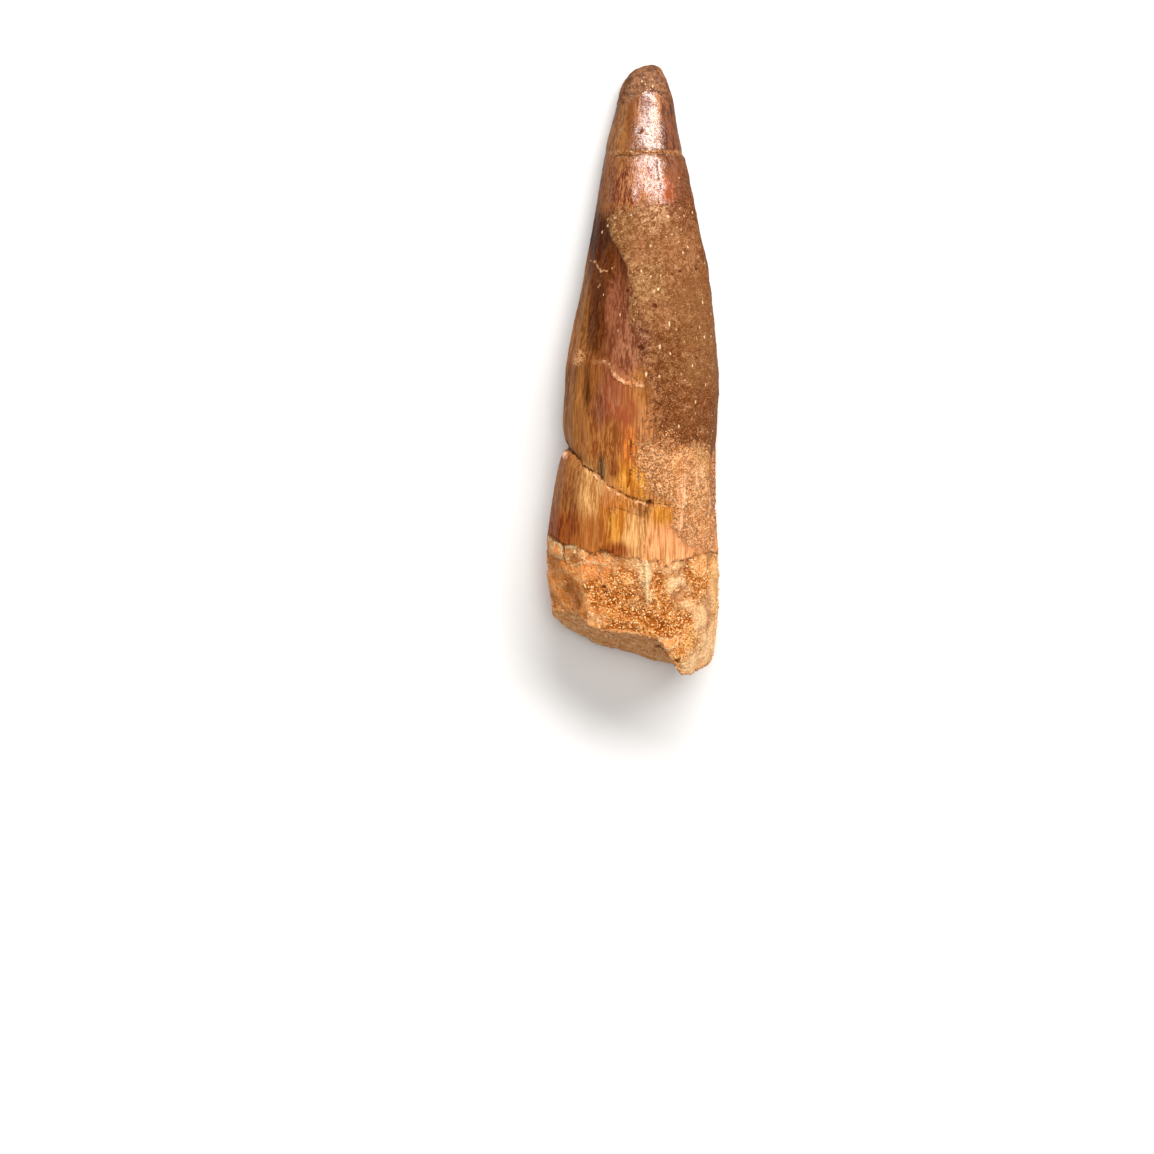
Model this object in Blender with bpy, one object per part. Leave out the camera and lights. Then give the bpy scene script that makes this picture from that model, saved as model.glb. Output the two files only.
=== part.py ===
"""A fossil spinosaur tooth lying on its side, as one solid.

Metres, +Z up. The tooth lies along Y with its point towards +Y and its best face up. It rests on a
narrow flat along its underside, and the origin is on the floor under the middle of its outline.
Lengths in the tables below are in millimetres, in that same frame.
"""

import math

import bmesh
import bpy
import numpy as np
from mathutils import Vector, noise

MM = 0.001

# How finely the solid is faceted, with more columns on the upper face than on the underside
COLUMNS_UPPER = 46
COLUMNS_UNDER = 26
COLUMNS = COLUMNS_UPPER + COLUMNS_UNDER
ROWS_ROOT = 9
ROWS_BELOW_CRACK = 6
ROWS_ABOVE_CRACK = 26
ROWS_POINT = 12
RINGS_BREAK = 6

# Stations from the root end to the point: y, left edge, right edge, thickness
STATIONS = (
    (-44.0, -8.0, 10.4, 18.6),
    (-41.0, -9.6, 11.1, 18.9),
    (-37.5, -10.9, 11.7, 19.2),
    (-32.0, -11.9, 12.1, 19.6),
    (-27.5, -12.2, 12.0, 19.6),
    (-23.6, -12.1, 11.8, 19.4),
    (-17.2, -11.3, 11.5, 18.9),
    (-11.6, -10.3, 11.5, 18.2),
    (-10.2, -9.7, 11.5, 18.0),
    (-7.4, -10.0, 11.5, 17.7),
    (-2.4, -9.6, 11.9, 17.1),
    (1.0, -9.4, 11.7, 16.6),
    (7.7, -8.2, 11.3, 15.4),
    (14.4, -6.8, 10.4, 13.9),
    (22.8, -5.4, 8.6, 11.7),
    (29.5, -4.3, 7.3, 9.8),
    (32.9, -3.6, 6.4, 8.9),
    (36.2, -2.6, 5.8, 8.0),
    (38.5, -2.1, 5.4, 7.3),
    (40.1, -1.5, 4.9, 6.3),
    (41.3, -0.8, 4.5, 5.2),
    (42.1, -0.1, 4.1, 3.9),
    (42.7, 0.9, 3.8, 2.5),
)
POINT = (2.6, 43.1, 3.5)
POINT_HEIGHT = 3.5
ROUNDNESS = 2.15
REST_FLAT = 0.55

# The broken root end: how far down it reaches, across X, on the upper face and at the floor
BREAK_UPPER = (
    (-12.0, -32.5),
    (-8.6, -33.6),
    (-6.8, -35.4),
    (-5.6, -36.6),
    (-0.9, -36.9),
    (1.9, -37.6),
    (3.2, -37.8),
    (4.8, -39.7),
    (6.1, -42.1),
    (7.2, -43.1),
    (8.7, -42.9),
    (9.5, -42.1),
    (12.0, -41.6),
)
BREAK_LOWER = (
    (-12.0, -34.6),
    (-6.5, -37.6),
    (-4.0, -38.7),
    (-0.5, -39.6),
    (3.0, -40.6),
    (6.0, -41.2),
    (12.0, -40.4),
)
BREAK_HOLLOW = 0.7
BREAK_ROUGHNESS = 0.35
# A dark pocket in the break, just under the upper rim: x, z, radius, depth
BREAK_POCKET = (3.6, 15.4, 2.0, 2.2)

# The glued crack, on the upper face from left to right and then back round the underside
CRACK_UPPER = (
    (-9.9, -10.4),
    (-8.6, -11.8),
    (-7.2, -12.9),
    (-5.4, -14.4),
    (-3.6, -16.2),
    (-1.0, -17.7),
    (1.9, -18.7),
    (5.4, -18.8),
    (11.6, -19.6),
)
CRACK_LOWER = ((-9.9, -10.4), (-3.0, -14.0), (4.0, -15.6), (11.6, -19.6))
CRACK_WIDTH = 0.5
CRACK_DEPTH = 0.6

# The glued joint near the point
TIP_JOINT = ((-4.4, 30.5), (-1.5, 30.2), (1.5, 29.9), (4.5, 30.1), (7.4, 30.6))
TIP_JOINT_WIDTH = 0.45
TIP_JOINT_DEPTH = 0.16

# The worn cap of the point
WORN_FROM = 39.0
WORN_ROUGHNESS = 0.15

# The sandy skin over the upper face, left window edge first, and how thick it is
SANDY_SKIN = (
    (-3.6, 21.0),
    (-2.8, 17.4),
    (-1.6, 15.6),
    (-0.8, 12.6),
    (-0.6, 7.6),
    (0.6, 5.2),
    (1.0, 0.8),
    (2.6, -3.6),
    (2.8, -9.6),
    (12.5, -11.0),
    (12.5, 14.0),
    (9.5, 24.0),
    (5.5, 27.6),
    (0.8, 23.6),
)
SKIN_THICKNESS = 0.5
SKIN_EDGE = 0.7

# The granular crust low on the right of the crown
CRUST_CENTRE = (8.2, -17.5)
CRUST_HALF_SIZE = (4.6, 7.0)
CRUST_THICKNESS = 0.45

# The enamel's ragged lower edge on the upper face and on the underside, and the step at it
ENAMEL_EDGE_UPPER = (
    (-12.2, -25.0),
    (-10.4, -26.2),
    (-9.4, -25.3),
    (-8.2, -26.6),
    (-6.1, -25.8),
    (-4.0, -26.4),
    (-2.2, -25.4),
    (0.9, -26.9),
    (5.4, -26.8),
    (7.9, -25.9),
    (11.8, -24.8),
)
ENAMEL_EDGE_UNDER = ((-12.2, -25.0), (-8.0, -24.2), (-4.0, -25.6), (1.0, -25.0), (6.0, -26.2), (11.8, -24.8))
ENAMEL_STEP = 0.5
ENAMEL_STEP_HALF_WIDTH = 0.3

# Long flutes of the crown, and the cutting ridge at each side
FLUTES = 14
FLUTE_DEPTH = 0.2
FLUTES_FADE = (14.0, 30.0)
SIDE_RIDGE_HEIGHT = 0.25
SIDE_RIDGE_WIDTH = 0.16
SIDE_RIDGE_FADE = (22.0, 36.0)

# Round hollows: x, y, radius, depth. The scallop in the left of the root comes first
HOLLOWS = (
    (-9.3, -32.2, 2.9, 1.3),
    (1.1, 5.8, 0.9, 0.6),
    (1.3, 3.2, 0.9, 0.7),
    (-2.8, -30.5, 1.5, 0.4),
    (6.6, -35.0, 1.6, 0.45),
)
# Round lumps: x, y, radius, height
LUMPS = (
    (-8.0, 2.0, 1.4, 0.35),
    (-10.6, -25.2, 1.5, 0.4),
    (-8.9, -25.9, 1.2, 0.35),
    (8.5, -30.0, 2.2, 0.45),
    (4.6, -28.2, 1.5, 0.4),
    (-4.5, -33.5, 2.4, 0.4),
    (7.8, -40.2, 2.2, 0.3),
)
# Raised lines on the upper face: half width, height, then the points of the line
RIDGES = (
    (1.2, 0.4, ((-7.1, 1.3), (-4.7, 0.7), (-2.9, -0.6), (-1.9, -1.7), (1.6, -2.4))),
    (1.4, 0.5, ((1.7, -28.2), (2.0, -33.0))),
    (1.3, 0.5, ((-6.6, -29.2), (-6.9, -34.4))),
)
ROOT_ROUGHNESS = 0.45
# The share of the root's relief that also shows at the sides and underneath
SIDE_SHARE = 0.25
CROWN_UNEVENNESS = 0.2

# Edges bent more than this stay crisp
SHARP_DEGREES = 60

# Colours as linear light
ENAMEL_COLOUR = (0.29, 0.14, 0.055, 1.0)
ROOT_COLOUR = (0.66, 0.40, 0.19, 1.0)


def smoothstep(low, high, value):
    """0 at low, 1 at high, and an even slope between them."""
    share = min(1.0, max(0.0, (value - low) / (high - low)))
    return share * share * (3 - 2 * share)


def along(line, value):
    """The second number of a table of pairs, at this value of the first."""
    return float(np.interp(value, [p[0] for p in line], [p[1] for p in line]))


def station(y):
    """Left edge, right edge and thickness at y, on a smooth curve through the stations."""
    ys = [s[0] for s in STATIONS]
    y = min(ys[-1], max(ys[0], y))
    i = min(len(ys) - 2, max(0, int(np.searchsorted(ys, y)) - 1))
    before, after = max(0, i - 1), min(len(ys) - 1, i + 2)
    span = ys[i + 1] - ys[i]
    t = (y - ys[i]) / span
    values = []
    for k in (1, 2, 3):
        p0, p1, p2, p3 = (STATIONS[j][k] for j in (before, i, i + 1, after))
        m1 = (p2 - p0) / (ys[i + 1] - ys[before]) * span
        m2 = (p3 - p1) / (ys[after] - ys[i]) * span
        values.append(
            (2 * t**3 - 3 * t**2 + 1) * p1
            + (t**3 - 2 * t**2 + t) * m1
            + (3 * t**2 - 2 * t**3) * p2
            + (t**3 - t**2) * m2
        )
    return values


def section_point(y, angle):
    """A point on the plain outline of the tooth, and the outward direction there."""
    left, right, thickness = station(y)
    half_width, half_height = (right - left) / 2, thickness / 2
    cosine, sine = math.cos(angle), math.sin(angle)
    across = math.copysign(abs(cosine) ** (2 / ROUNDNESS), cosine)
    upward = math.copysign(abs(sine) ** (2 / ROUNDNESS), sine)
    centre_z = max(half_height - REST_FLAT, POINT_HEIGHT)
    point = Vector(((left + right) / 2 + half_width * across, y, centre_z + half_height * upward))
    outward = Vector((cosine / half_width, 0.0, sine / half_height)).normalized()
    return point, outward


def break_y(x, height_share):
    """How far down the root reaches at x, from the floor (share 0) to the upper face (share 1)."""
    upper, lower = along(BREAK_UPPER, x), along(BREAK_LOWER, x)
    return lower + (upper - lower) * smoothstep(0.25, 0.95, height_share)


def signed_distance(outline, x, y):
    """Distance from a point to a closed outline, positive inside it."""
    nearest, inside = 1e9, False
    for (ax, ay), (bx, by) in zip(outline, outline[1:] + outline[:1]):
        edge = Vector((bx - ax, by - ay))
        offset = Vector((x - ax, y - ay))
        share = min(1.0, max(0.0, offset.dot(edge) / edge.length_squared))
        nearest = min(nearest, (offset - edge * share).length)
        if (ay > y) != (by > y) and x < ax + (y - ay) / (by - ay) * (bx - ax):
            inside = not inside
    return nearest if inside else -nearest


def from_line(points, x, y):
    """Distance from a point to an open line."""
    nearest = 1e9
    for (ax, ay), (bx, by) in zip(points, points[1:]):
        edge = Vector((bx - ax, by - ay))
        offset = Vector((x - ax, y - ay))
        share = min(1.0, max(0.0, offset.dot(edge) / edge.length_squared))
        nearest = min(nearest, (offset - edge * share).length)
    return nearest


def crown_flutes(y, angle):
    """Shallow scallops round the crown, which fade towards the point."""
    fade = 1 - smoothstep(*FLUTES_FADE, y)
    return FLUTE_DEPTH * fade * (math.cos(angle * FLUTES) - 1) / 2


def side_ridges(y, angle):
    """The raised line down each side of the crown, whose top is the plain outline's edge."""
    fade = 1 - smoothstep(*SIDE_RIDGE_FADE, y)
    return SIDE_RIDGE_HEIGHT * fade * (math.exp(-((math.sin(angle) / SIDE_RIDGE_WIDTH) ** 2)) - 1)


def enamel_edge_y(x, upper):
    """Where the enamel ends, on the upper face or on the underside."""
    return along(ENAMEL_EDGE_UPPER if upper else ENAMEL_EDGE_UNDER, x)


def crack_y(x, upper):
    """Where the glued crack runs, on the upper face or on the underside."""
    return along(CRACK_UPPER if upper else CRACK_LOWER, x)


def crack_groove(x, y, upper):
    """The groove of the glued crack, deepest at the left edge."""
    away = abs(y - crack_y(x, upper)) / CRACK_WIDTH
    depth = CRACK_DEPTH * (1.5 - smoothstep(-10.0, -4.0, x))
    return -depth * max(0.0, 1 - away)


def rounded(x, y, table):
    """The sum of soft round shapes from a table of x, y, radius and height."""
    total = 0.0
    for cx, cy, radius, height in table:
        total += height * (1 - smoothstep(0.0, radius, math.hypot(x - cx, y - cy)))
    return total


def raised_lines(x, y):
    """The highest of the raised lines at a place."""
    heights = [h * (1 - smoothstep(0.0, w, from_line(line, x, y))) for w, h, line in RIDGES]
    return max(heights)


def relief(point, outward, angle):
    """How far the surface stands out from the plain outline, in millimetres."""
    x, y, z = point
    upper = outward.z > 0
    facing_up = smoothstep(0.1, 0.45, outward.z)
    below_enamel = enamel_edge_y(x, upper) - y
    on_root = smoothstep(-ENAMEL_STEP_HALF_WIDTH, ENAMEL_STEP_HALF_WIDTH, below_enamel)
    height = (crown_flutes(y, angle) + side_ridges(y, angle)) * (1 - on_root)
    height += crack_groove(x, y, upper)
    height -= TIP_JOINT_DEPTH * max(0.0, 1 - abs(y - along(TIP_JOINT, x)) / TIP_JOINT_WIDTH)
    skin = smoothstep(-SKIN_EDGE / 2, SKIN_EDGE / 2, signed_distance(SANDY_SKIN, x, y))
    height += SKIN_THICKNESS * skin * facing_up
    crust_x = (x - CRUST_CENTRE[0]) / CRUST_HALF_SIZE[0]
    crust_y = (y - CRUST_CENTRE[1]) / CRUST_HALF_SIZE[1]
    crust = 1 - smoothstep(0.6, 1.1, math.hypot(crust_x, crust_y))
    height += CRUST_THICKNESS * crust * facing_up
    height += (rounded(x, y, LUMPS) - rounded(x, y, HOLLOWS) + raised_lines(x, y)) * facing_up
    rough = noise.noise(Vector((x, y, z)) * 0.33) + 0.5 * noise.noise(Vector((x, y, z)) * 0.65)
    worn = smoothstep(WORN_FROM, WORN_FROM + 1.0, y)
    root_share = (SIDE_SHARE + (1 - SIDE_SHARE) * facing_up) * on_root
    height += rough * (ROOT_ROUGHNESS * root_share + WORN_ROUGHNESS * worn) - ENAMEL_STEP * root_share
    return height + CROWN_UNEVENNESS * noise.noise(Vector((x, y * 0.5, z)) * 0.3)


def surface_point(row_y, angle):
    """One point of the finished skin, in millimetres, with the underside resting on the floor."""
    point, outward = section_point(row_y, angle)
    point = point + outward * relief(point, outward, angle)
    point.z = max(0.0, point.z)
    return point


def settle(place, start, angle):
    """The y at which a line that runs across the tooth is met by the column at this angle."""
    y = start
    for _ in range(4):
        point, outward = section_point(y, angle)
        y = place(point, outward)
    return y


def column_places(angle):
    """The rows of one column from the root end to the point, gathered along each line they follow."""

    def root_end(point, _):
        return break_y(point.x, (point.z + REST_FLAT) / station(point.y)[2])

    def enamel_edge(point, outward):
        return enamel_edge_y(point.x, outward.z > 0)

    def crack(point, outward):
        return crack_y(point.x, outward.z > 0)

    def tip_joint(point, _):
        return along(TIP_JOINT, point.x)

    end = settle(root_end, -38.0, angle)
    edge = settle(enamel_edge, -25.0, angle)
    gap = settle(crack, -15.0, angle)
    joint = settle(tip_joint, 30.0, angle)
    last = STATIONS[-1][0]
    stops = (
        (end, edge - ENAMEL_STEP_HALF_WIDTH, ROWS_ROOT),
        (edge + ENAMEL_STEP_HALF_WIDTH, gap - CRACK_WIDTH, ROWS_BELOW_CRACK),
        (gap, gap, 0),
        (gap + CRACK_WIDTH, joint - TIP_JOINT_WIDTH, ROWS_ABOVE_CRACK),
        (joint, joint, 0),
        (joint + TIP_JOINT_WIDTH, last, ROWS_POINT),
    )
    places = []
    for low, high, rows in stops:
        shares = [i / rows for i in range(rows + 1)] if rows else [0.0]
        if high == last:
            shares = [1.4 * share - 0.4 * share * share for share in shares]
        places += [low + (high - low) * share for share in shares]
    return places


def column_angles():
    """The directions of the columns round the tooth, from +X over the upper face and back."""
    upper = [math.pi * i / COLUMNS_UPPER for i in range(COLUMNS_UPPER)]
    under = [math.pi + math.pi * i / COLUMNS_UNDER for i in range(COLUMNS_UNDER)]
    return upper + under


def add_ring(mesh, points):
    """Adds a ring of vertices, converted to metres."""
    return [mesh.verts.new(p * MM) for p in points]


def join_rings(mesh, lower, upper):
    """Faces between two rings, turned outwards where upper lies nearer the point."""
    for i in range(COLUMNS):
        j = (i + 1) % COLUMNS
        mesh.faces.new((lower[i], upper[i], upper[j], lower[j]))


def close_ring(mesh, ring, middle, towards_point):
    """A fan of triangles from a ring to one vertex."""
    centre = mesh.verts.new(middle * MM)
    for i in range(COLUMNS):
        a, b = ring[i], ring[(i + 1) % COLUMNS]
        mesh.faces.new((a, centre, b) if towards_point else (b, centre, a))


def break_ring(rim, middle, share):
    """A ring on the broken end: share 1 is the rim and 0 the middle."""
    points = []
    for edge in rim:
        flat = middle + (edge - middle) * share
        reach = break_y(flat.x, (flat.z + REST_FLAT) / station(middle.y)[2])
        inward = min(1.0, (1 - share) * 3)
        reach += BREAK_HOLLOW * inward * (1 - 0.4 * inward)
        reach += BREAK_ROUGHNESS * inward * noise.noise(Vector((flat.x, 0.0, flat.z)) * 0.6)
        pocket_x, pocket_z, radius, depth = BREAK_POCKET
        from_pocket = math.hypot(flat.x - pocket_x, flat.z - pocket_z)
        reach += depth * min(1.0, inward * 1.5) * (1 - smoothstep(0.3 * radius, radius, from_pocket))
        points.append(Vector((flat.x, reach, flat.z)))
    return points


def build_tooth():
    """The whole tooth as one closed mesh, with its crown and root in their own colours."""
    angles = column_angles()
    columns = [[surface_point(y, a) for y in column_places(a)] for a in angles]
    rows = [list(row) for row in zip(*columns)]
    mesh = bmesh.new()
    rings = [add_ring(mesh, row) for row in rows]
    for lower, upper in zip(rings, rings[1:]):
        join_rings(mesh, lower, upper)
    close_ring(mesh, rings[-1], Vector(POINT), towards_point=True)
    rim = rows[0]
    middle = sum(rim, Vector()) / COLUMNS
    outer = rings[0]
    for k in range(RINGS_BREAK - 1, 0, -1):
        inner = add_ring(mesh, break_ring(rim, middle, k / RINGS_BREAK))
        join_rings(mesh, inner, outer)
        outer = inner
    close_ring(mesh, outer, break_ring([middle], middle, 0.0)[0], towards_point=False)
    bmesh.ops.recalc_face_normals(mesh, faces=mesh.faces)
    data = bpy.data.meshes.new("spinosaur_tooth")
    mesh.to_mesh(data)
    mesh.free()
    return data


def finish(name, colour, roughness):
    """A plain material with one colour and gloss."""
    material = bpy.data.materials.new(name)
    material.use_nodes = True
    shader = material.node_tree.nodes["Principled BSDF"]
    shader.inputs["Base Color"].default_value = colour
    shader.inputs["Roughness"].default_value = roughness
    shader.inputs["Metallic"].default_value = 0.0
    return material


def main():
    for old in list(bpy.data.objects):
        bpy.data.objects.remove(old)
    data = build_tooth()
    data.materials.append(finish("fossil_enamel", ENAMEL_COLOUR, 0.35))
    data.materials.append(finish("root_dentine", ROOT_COLOUR, 0.8))
    for face in data.polygons:
        x, y, _ = face.center / MM
        face.material_index = int(y < enamel_edge_y(x, face.normal.z > 0))
    data.shade_smooth()
    data.set_sharp_from_angle(angle=math.radians(SHARP_DEGREES))
    bpy.context.scene.collection.objects.link(bpy.data.objects.new("tooth", data))


main()
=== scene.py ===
# %% [markdown]
# # A fossil spinosaur tooth
#
# The subject is one fossil tooth, lying on its side with its best face up, under a camera that
# looks straight down. A real one is two materials grown together: a crown under a skin of enamel,
# glossy and streaked, and below it the crumbly dentine of a broken root. Sand is still cemented
# over part of the crown, and two breaks have been glued.
#
# The solid that carries the size is loaded first. Everything after it is looks.

# %% Load the solid
import math

import bpy
import numpy as np
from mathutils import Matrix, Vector, noise


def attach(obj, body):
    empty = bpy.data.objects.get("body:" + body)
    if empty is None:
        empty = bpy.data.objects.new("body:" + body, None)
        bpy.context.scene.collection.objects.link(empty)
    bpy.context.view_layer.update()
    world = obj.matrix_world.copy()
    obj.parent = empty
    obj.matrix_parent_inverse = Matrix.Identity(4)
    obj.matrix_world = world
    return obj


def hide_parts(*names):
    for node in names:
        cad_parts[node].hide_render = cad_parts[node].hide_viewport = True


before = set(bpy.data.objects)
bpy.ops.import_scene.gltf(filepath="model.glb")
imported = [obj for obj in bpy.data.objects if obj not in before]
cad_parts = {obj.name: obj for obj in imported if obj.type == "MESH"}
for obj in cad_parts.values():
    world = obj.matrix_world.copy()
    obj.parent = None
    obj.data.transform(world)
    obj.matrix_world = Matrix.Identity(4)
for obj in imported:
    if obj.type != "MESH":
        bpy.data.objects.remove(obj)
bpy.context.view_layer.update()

MM = 0.001

# %% [markdown]
# ## Camera
#
# The tooth fills about half of the picture's height, a little above and to the right of the
# middle. A long lens from two metres up keeps the outline free of perspective, so sizes can
# be read straight off the picture. The camera could also be aimed with a constraint, but a plain
# position over the table is enough when it looks straight down.

# %% Camera
PICTURE_MM = 161.4
CAMERA_MIDDLE = (-7.9, -28.8)
CAMERA_HEIGHT = 2000.0
READ_AT_HEIGHT = 8.0
SENSOR_MM = 36.0

camera_data = bpy.data.cameras.new("camera")
camera_data.sensor_width = SENSOR_MM
camera_data.lens = SENSOR_MM * (CAMERA_HEIGHT - READ_AT_HEIGHT) / PICTURE_MM
camera_data.clip_start = 0.01
camera_data.clip_end = 10.0
camera = bpy.data.objects.new("camera", camera_data)
camera.location = (CAMERA_MIDDLE[0] * MM, CAMERA_MIDDLE[1] * MM, CAMERA_HEIGHT * MM)
bpy.context.scene.collection.objects.link(camera)
bpy.context.scene.camera = camera
print("lens in mm:", round(camera_data.lens, 1))

# %% [markdown]
# ## Light
#
# The enamel near the point carries one hard-edged highlight, wide from side to side but only as
# tall as the part of the crown that leans the right way. That is a long, narrow light, up past the
# point of the tooth: a strip softbox. A second softbox, square and twice as far off, opens the
# shadows, and a faint world keeps the sides from going black. Together they take the pale table
# to pure white.

# %% Light and floor
STRIP_TILT_X = 21.0
STRIP_TILT_Y = 35.0
STRIP_DISTANCE = 0.6
STRIP_SIZE = (0.62, 0.2)
STRIP_WATTS = 4.5
STRIP_TARGET = (0, 0.01, 0.01)
OVERHEAD_HEIGHT = 1.2
OVERHEAD_SIZE = (0.7, 0.7)
OVERHEAD_WATTS = 7.1
FILL_TONE = (1.0, 0.99, 0.97, 1.0)
FILL_STRENGTH = 0.19
TABLE_SIDE = 3.0


def aim(thing, target):
    """Turns a lamp so that it faces a point."""
    thing.rotation_euler = (Vector(target) - thing.location).to_track_quat("-Z", "Y").to_euler()


def area_light(name, location, target, size, watts):
    """A rectangular soft light, hidden from the camera."""
    data = bpy.data.lights.new(name, "AREA")
    data.shape = "RECTANGLE"
    data.size, data.size_y = size
    data.energy = watts
    lamp = bpy.data.objects.new(name, data)
    lamp.location = location
    lamp.visible_camera = False
    aim(lamp, target)
    bpy.context.scene.collection.objects.link(lamp)


strip_direction = Vector(
    (math.tan(math.radians(STRIP_TILT_X)), math.tan(math.radians(STRIP_TILT_Y)), 1.0)
).normalized()
overhead = Vector((0, 0, OVERHEAD_HEIGHT))
area_light("strip_softbox", strip_direction * STRIP_DISTANCE, STRIP_TARGET, STRIP_SIZE, STRIP_WATTS)
area_light("overhead_softbox", overhead, (0, 0, 0), OVERHEAD_SIZE, OVERHEAD_WATTS)

world = bpy.data.worlds.new("fill")
world.use_nodes = True
world.node_tree.nodes["Background"].inputs["Color"].default_value = FILL_TONE
world.node_tree.nodes["Background"].inputs["Strength"].default_value = FILL_STRENGTH
bpy.context.scene.world = world
bpy.context.scene.view_settings.view_transform = "Standard"


def let_go():
    """Deselects everything, so that the next operator acts on its own piece alone."""
    for thing in bpy.context.selected_objects:
        thing.select_set(False)


def pick(piece):
    """Makes a piece the only selected object, and the active one."""
    let_go()
    piece.select_set(True)
    bpy.context.view_layer.objects.active = piece


let_go()
bpy.ops.mesh.primitive_plane_add(size=TABLE_SIDE, location=(0, 0, 0))
floor = bpy.context.active_object
floor.name = "table_top"
print("floor side in m:", round(floor.dimensions.x, 2))

# %% [markdown]
# ## Mixing materials
#
# A fossil's surface is layers of noise at different sizes: streaks in enamel, grains in sand.
# Node trees for that get long when every node is placed alone, so a small helper adds a node,
# feeds its inputs and gives back its output. Sizes are given in millimetres, because the helper
# turns the object's own coordinates into millimetres first, and a colour is three numbers from
# 0 to 255, as a screen shows it. Every coat of paint leaves its name as a label on its node.


# %% A helper for node trees
def linear(red, green, blue):
    """A colour read as 0 to 255 on a screen, as linear light."""
    channels = []
    for value in (red, green, blue):
        share = value / 255
        channels.append(share / 12.92 if share <= 0.04045 else ((share + 0.055) / 1.055) ** 2.4)
    return (*channels, 1.0)


class Nodes:
    """A node tree that grows one node at a time."""

    def __init__(self, tree):
        self.tree = tree

    def add(self, kind, inputs=None, **settings):
        """A new node with its properties set and its inputs fed."""
        node = self.tree.nodes.new(kind)
        for key, value in settings.items():
            setattr(node, key, value)
        for key, value in (inputs or {}).items():
            self.feed(node.inputs[key], value)
        return node

    def feed(self, socket, value):
        """Links a socket to another node, or sets it. A tuple is a colour from 0 to 255."""
        if isinstance(value, bpy.types.NodeSocket):
            self.tree.links.new(value, socket)
        else:
            socket.default_value = linear(*value) if isinstance(value, tuple) else value


class Recipe(Nodes):
    """A material whose nodes are added one ingredient at a time."""

    def __init__(self, name):
        self.material = bpy.data.materials.new(name)
        self.material.use_nodes = True
        super().__init__(self.material.node_tree)
        self.shader = self.tree.nodes["Principled BSDF"]
        self.place = self.add("ShaderNodeTexCoord").outputs["Object"]
        self.mm = self.stretch((1, 1, 1))

    def stretch(self, cycles):
        """The object's coordinates in millimetres, squeezed by a factor along each axis."""
        inputs = {"Vector": self.place, "Scale": [c / MM for c in cycles]}
        return self.add("ShaderNodeMapping", inputs).outputs["Vector"]

    def noise(self, size, detail=3.0, roughness=0.55, vector=None, distortion=0.0):
        """Cloudy noise with features of about this size in millimetres, from 0 to 1."""
        inputs = {"Vector": vector or self.mm, "Scale": 1 / size, "Detail": detail}
        inputs.update({"Roughness": roughness, "Distortion": distortion})
        return self.add("ShaderNodeTexNoise", inputs).outputs["Fac"]

    def cells(self, size, output="Distance", vector=None):
        """Cells of about this size in millimetres."""
        inputs = {"Vector": vector or self.mm, "Scale": 1 / size}
        return self.add("ShaderNodeTexVoronoi", inputs).outputs[output]

    def reading(self, name):
        """A number that the mesh carries at every point."""
        return self.add("ShaderNodeAttribute", attribute_name=name).outputs["Fac"]

    def wash(self, name):
        """A colour that the mesh carries at every point."""
        return self.add("ShaderNodeAttribute", attribute_name=name).outputs["Color"]

    def math(self, operation, first, second=0.0):
        """One sum on two numbers."""
        return self.add("ShaderNodeMath", {0: first, 1: second}, operation=operation).outputs["Value"]

    def rise(self, value, low, high, at_high=1.0, at_low=0.0):
        """Eases from one number to another as the value goes from low to high."""
        inputs = {"Value": value, "From Min": low, "From Max": high, "To Min": at_low, "To Max": at_high}
        return self.add("ShaderNodeMapRange", inputs, interpolation_type="SMOOTHSTEP").outputs["Result"]

    def mix(self, share, first, second, way="MIX"):
        """A blend of two colours."""
        inputs = {"Factor": share, "A": first, "B": second}
        return self.add("ShaderNodeMix", inputs, data_type="RGBA", blend_type=way).outputs["Result"]

    def layer(self, tone, *coats):
        """Lays coats over a tone: each has its name, the share that it covers and its colour."""
        for name, share, colour in coats:
            tone = self.mix(share, tone, colour)
            tone.node.label = name
        return tone

    def deepen(self, colour, saturation, value=1.0):
        """The same colour with more or less saturation and light."""
        inputs = {"Saturation": saturation, "Value": value, "Color": colour}
        return self.add("ShaderNodeHueSaturation", inputs).outputs["Color"]

    def finish(self, colour, roughness, height=None):
        """Feeds the shader. Height is in millimetres and becomes a bump."""
        self.feed(self.shader.inputs["Base Color"], colour)
        self.feed(self.shader.inputs["Roughness"], roughness)
        if height is not None:
            bump = self.add("ShaderNodeBump", {"Distance": MM, "Height": height})
            self.feed(self.shader.inputs["Normal"], bump.outputs["Normal"])
            self.feed(self.shader.inputs["Coat Normal"], bump.outputs["Normal"])
        return self.material


TABLE_ROUGHNESS = 0.9

table = Recipe("pale_table")
table_tone = table.mix(table.noise(30.0), (240, 239, 237), (244, 243, 241))
floor.data.materials.append(table.finish(table_tone, TABLE_ROUGHNESS))
print("nodes in the table's material:", len(table.tree.nodes))

# %% [markdown]
# ## The body of the tooth
#
# The loaded solid has flat facets a millimetre or two across. The look needs a surface that can
# carry grains a quarter of a millimetre wide. One way is to model the crown again from a circle,
# but then its outline could drift from the solid's. So the solid is copied instead, its loose
# triangles are merged and paired to four-sided faces, subdivided to round the facets away, and
# then rebuilt as an even cloth of small squares by a voxel Remesh.

# %% Copy and refine the solid
VOXEL_MM = 0.255
SEAM_GAP = 0.00001
PAIRING_ANGLE = math.radians(60)


def use_modifier(piece, kind, **settings):
    """Adds a modifier, sets it and applies it."""
    pick(piece)
    modifier = piece.modifiers.new(kind.lower(), kind)
    for key, value in settings.items():
        setattr(modifier, key, value)
    bpy.ops.object.modifier_apply(modifier=modifier.name)


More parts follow.
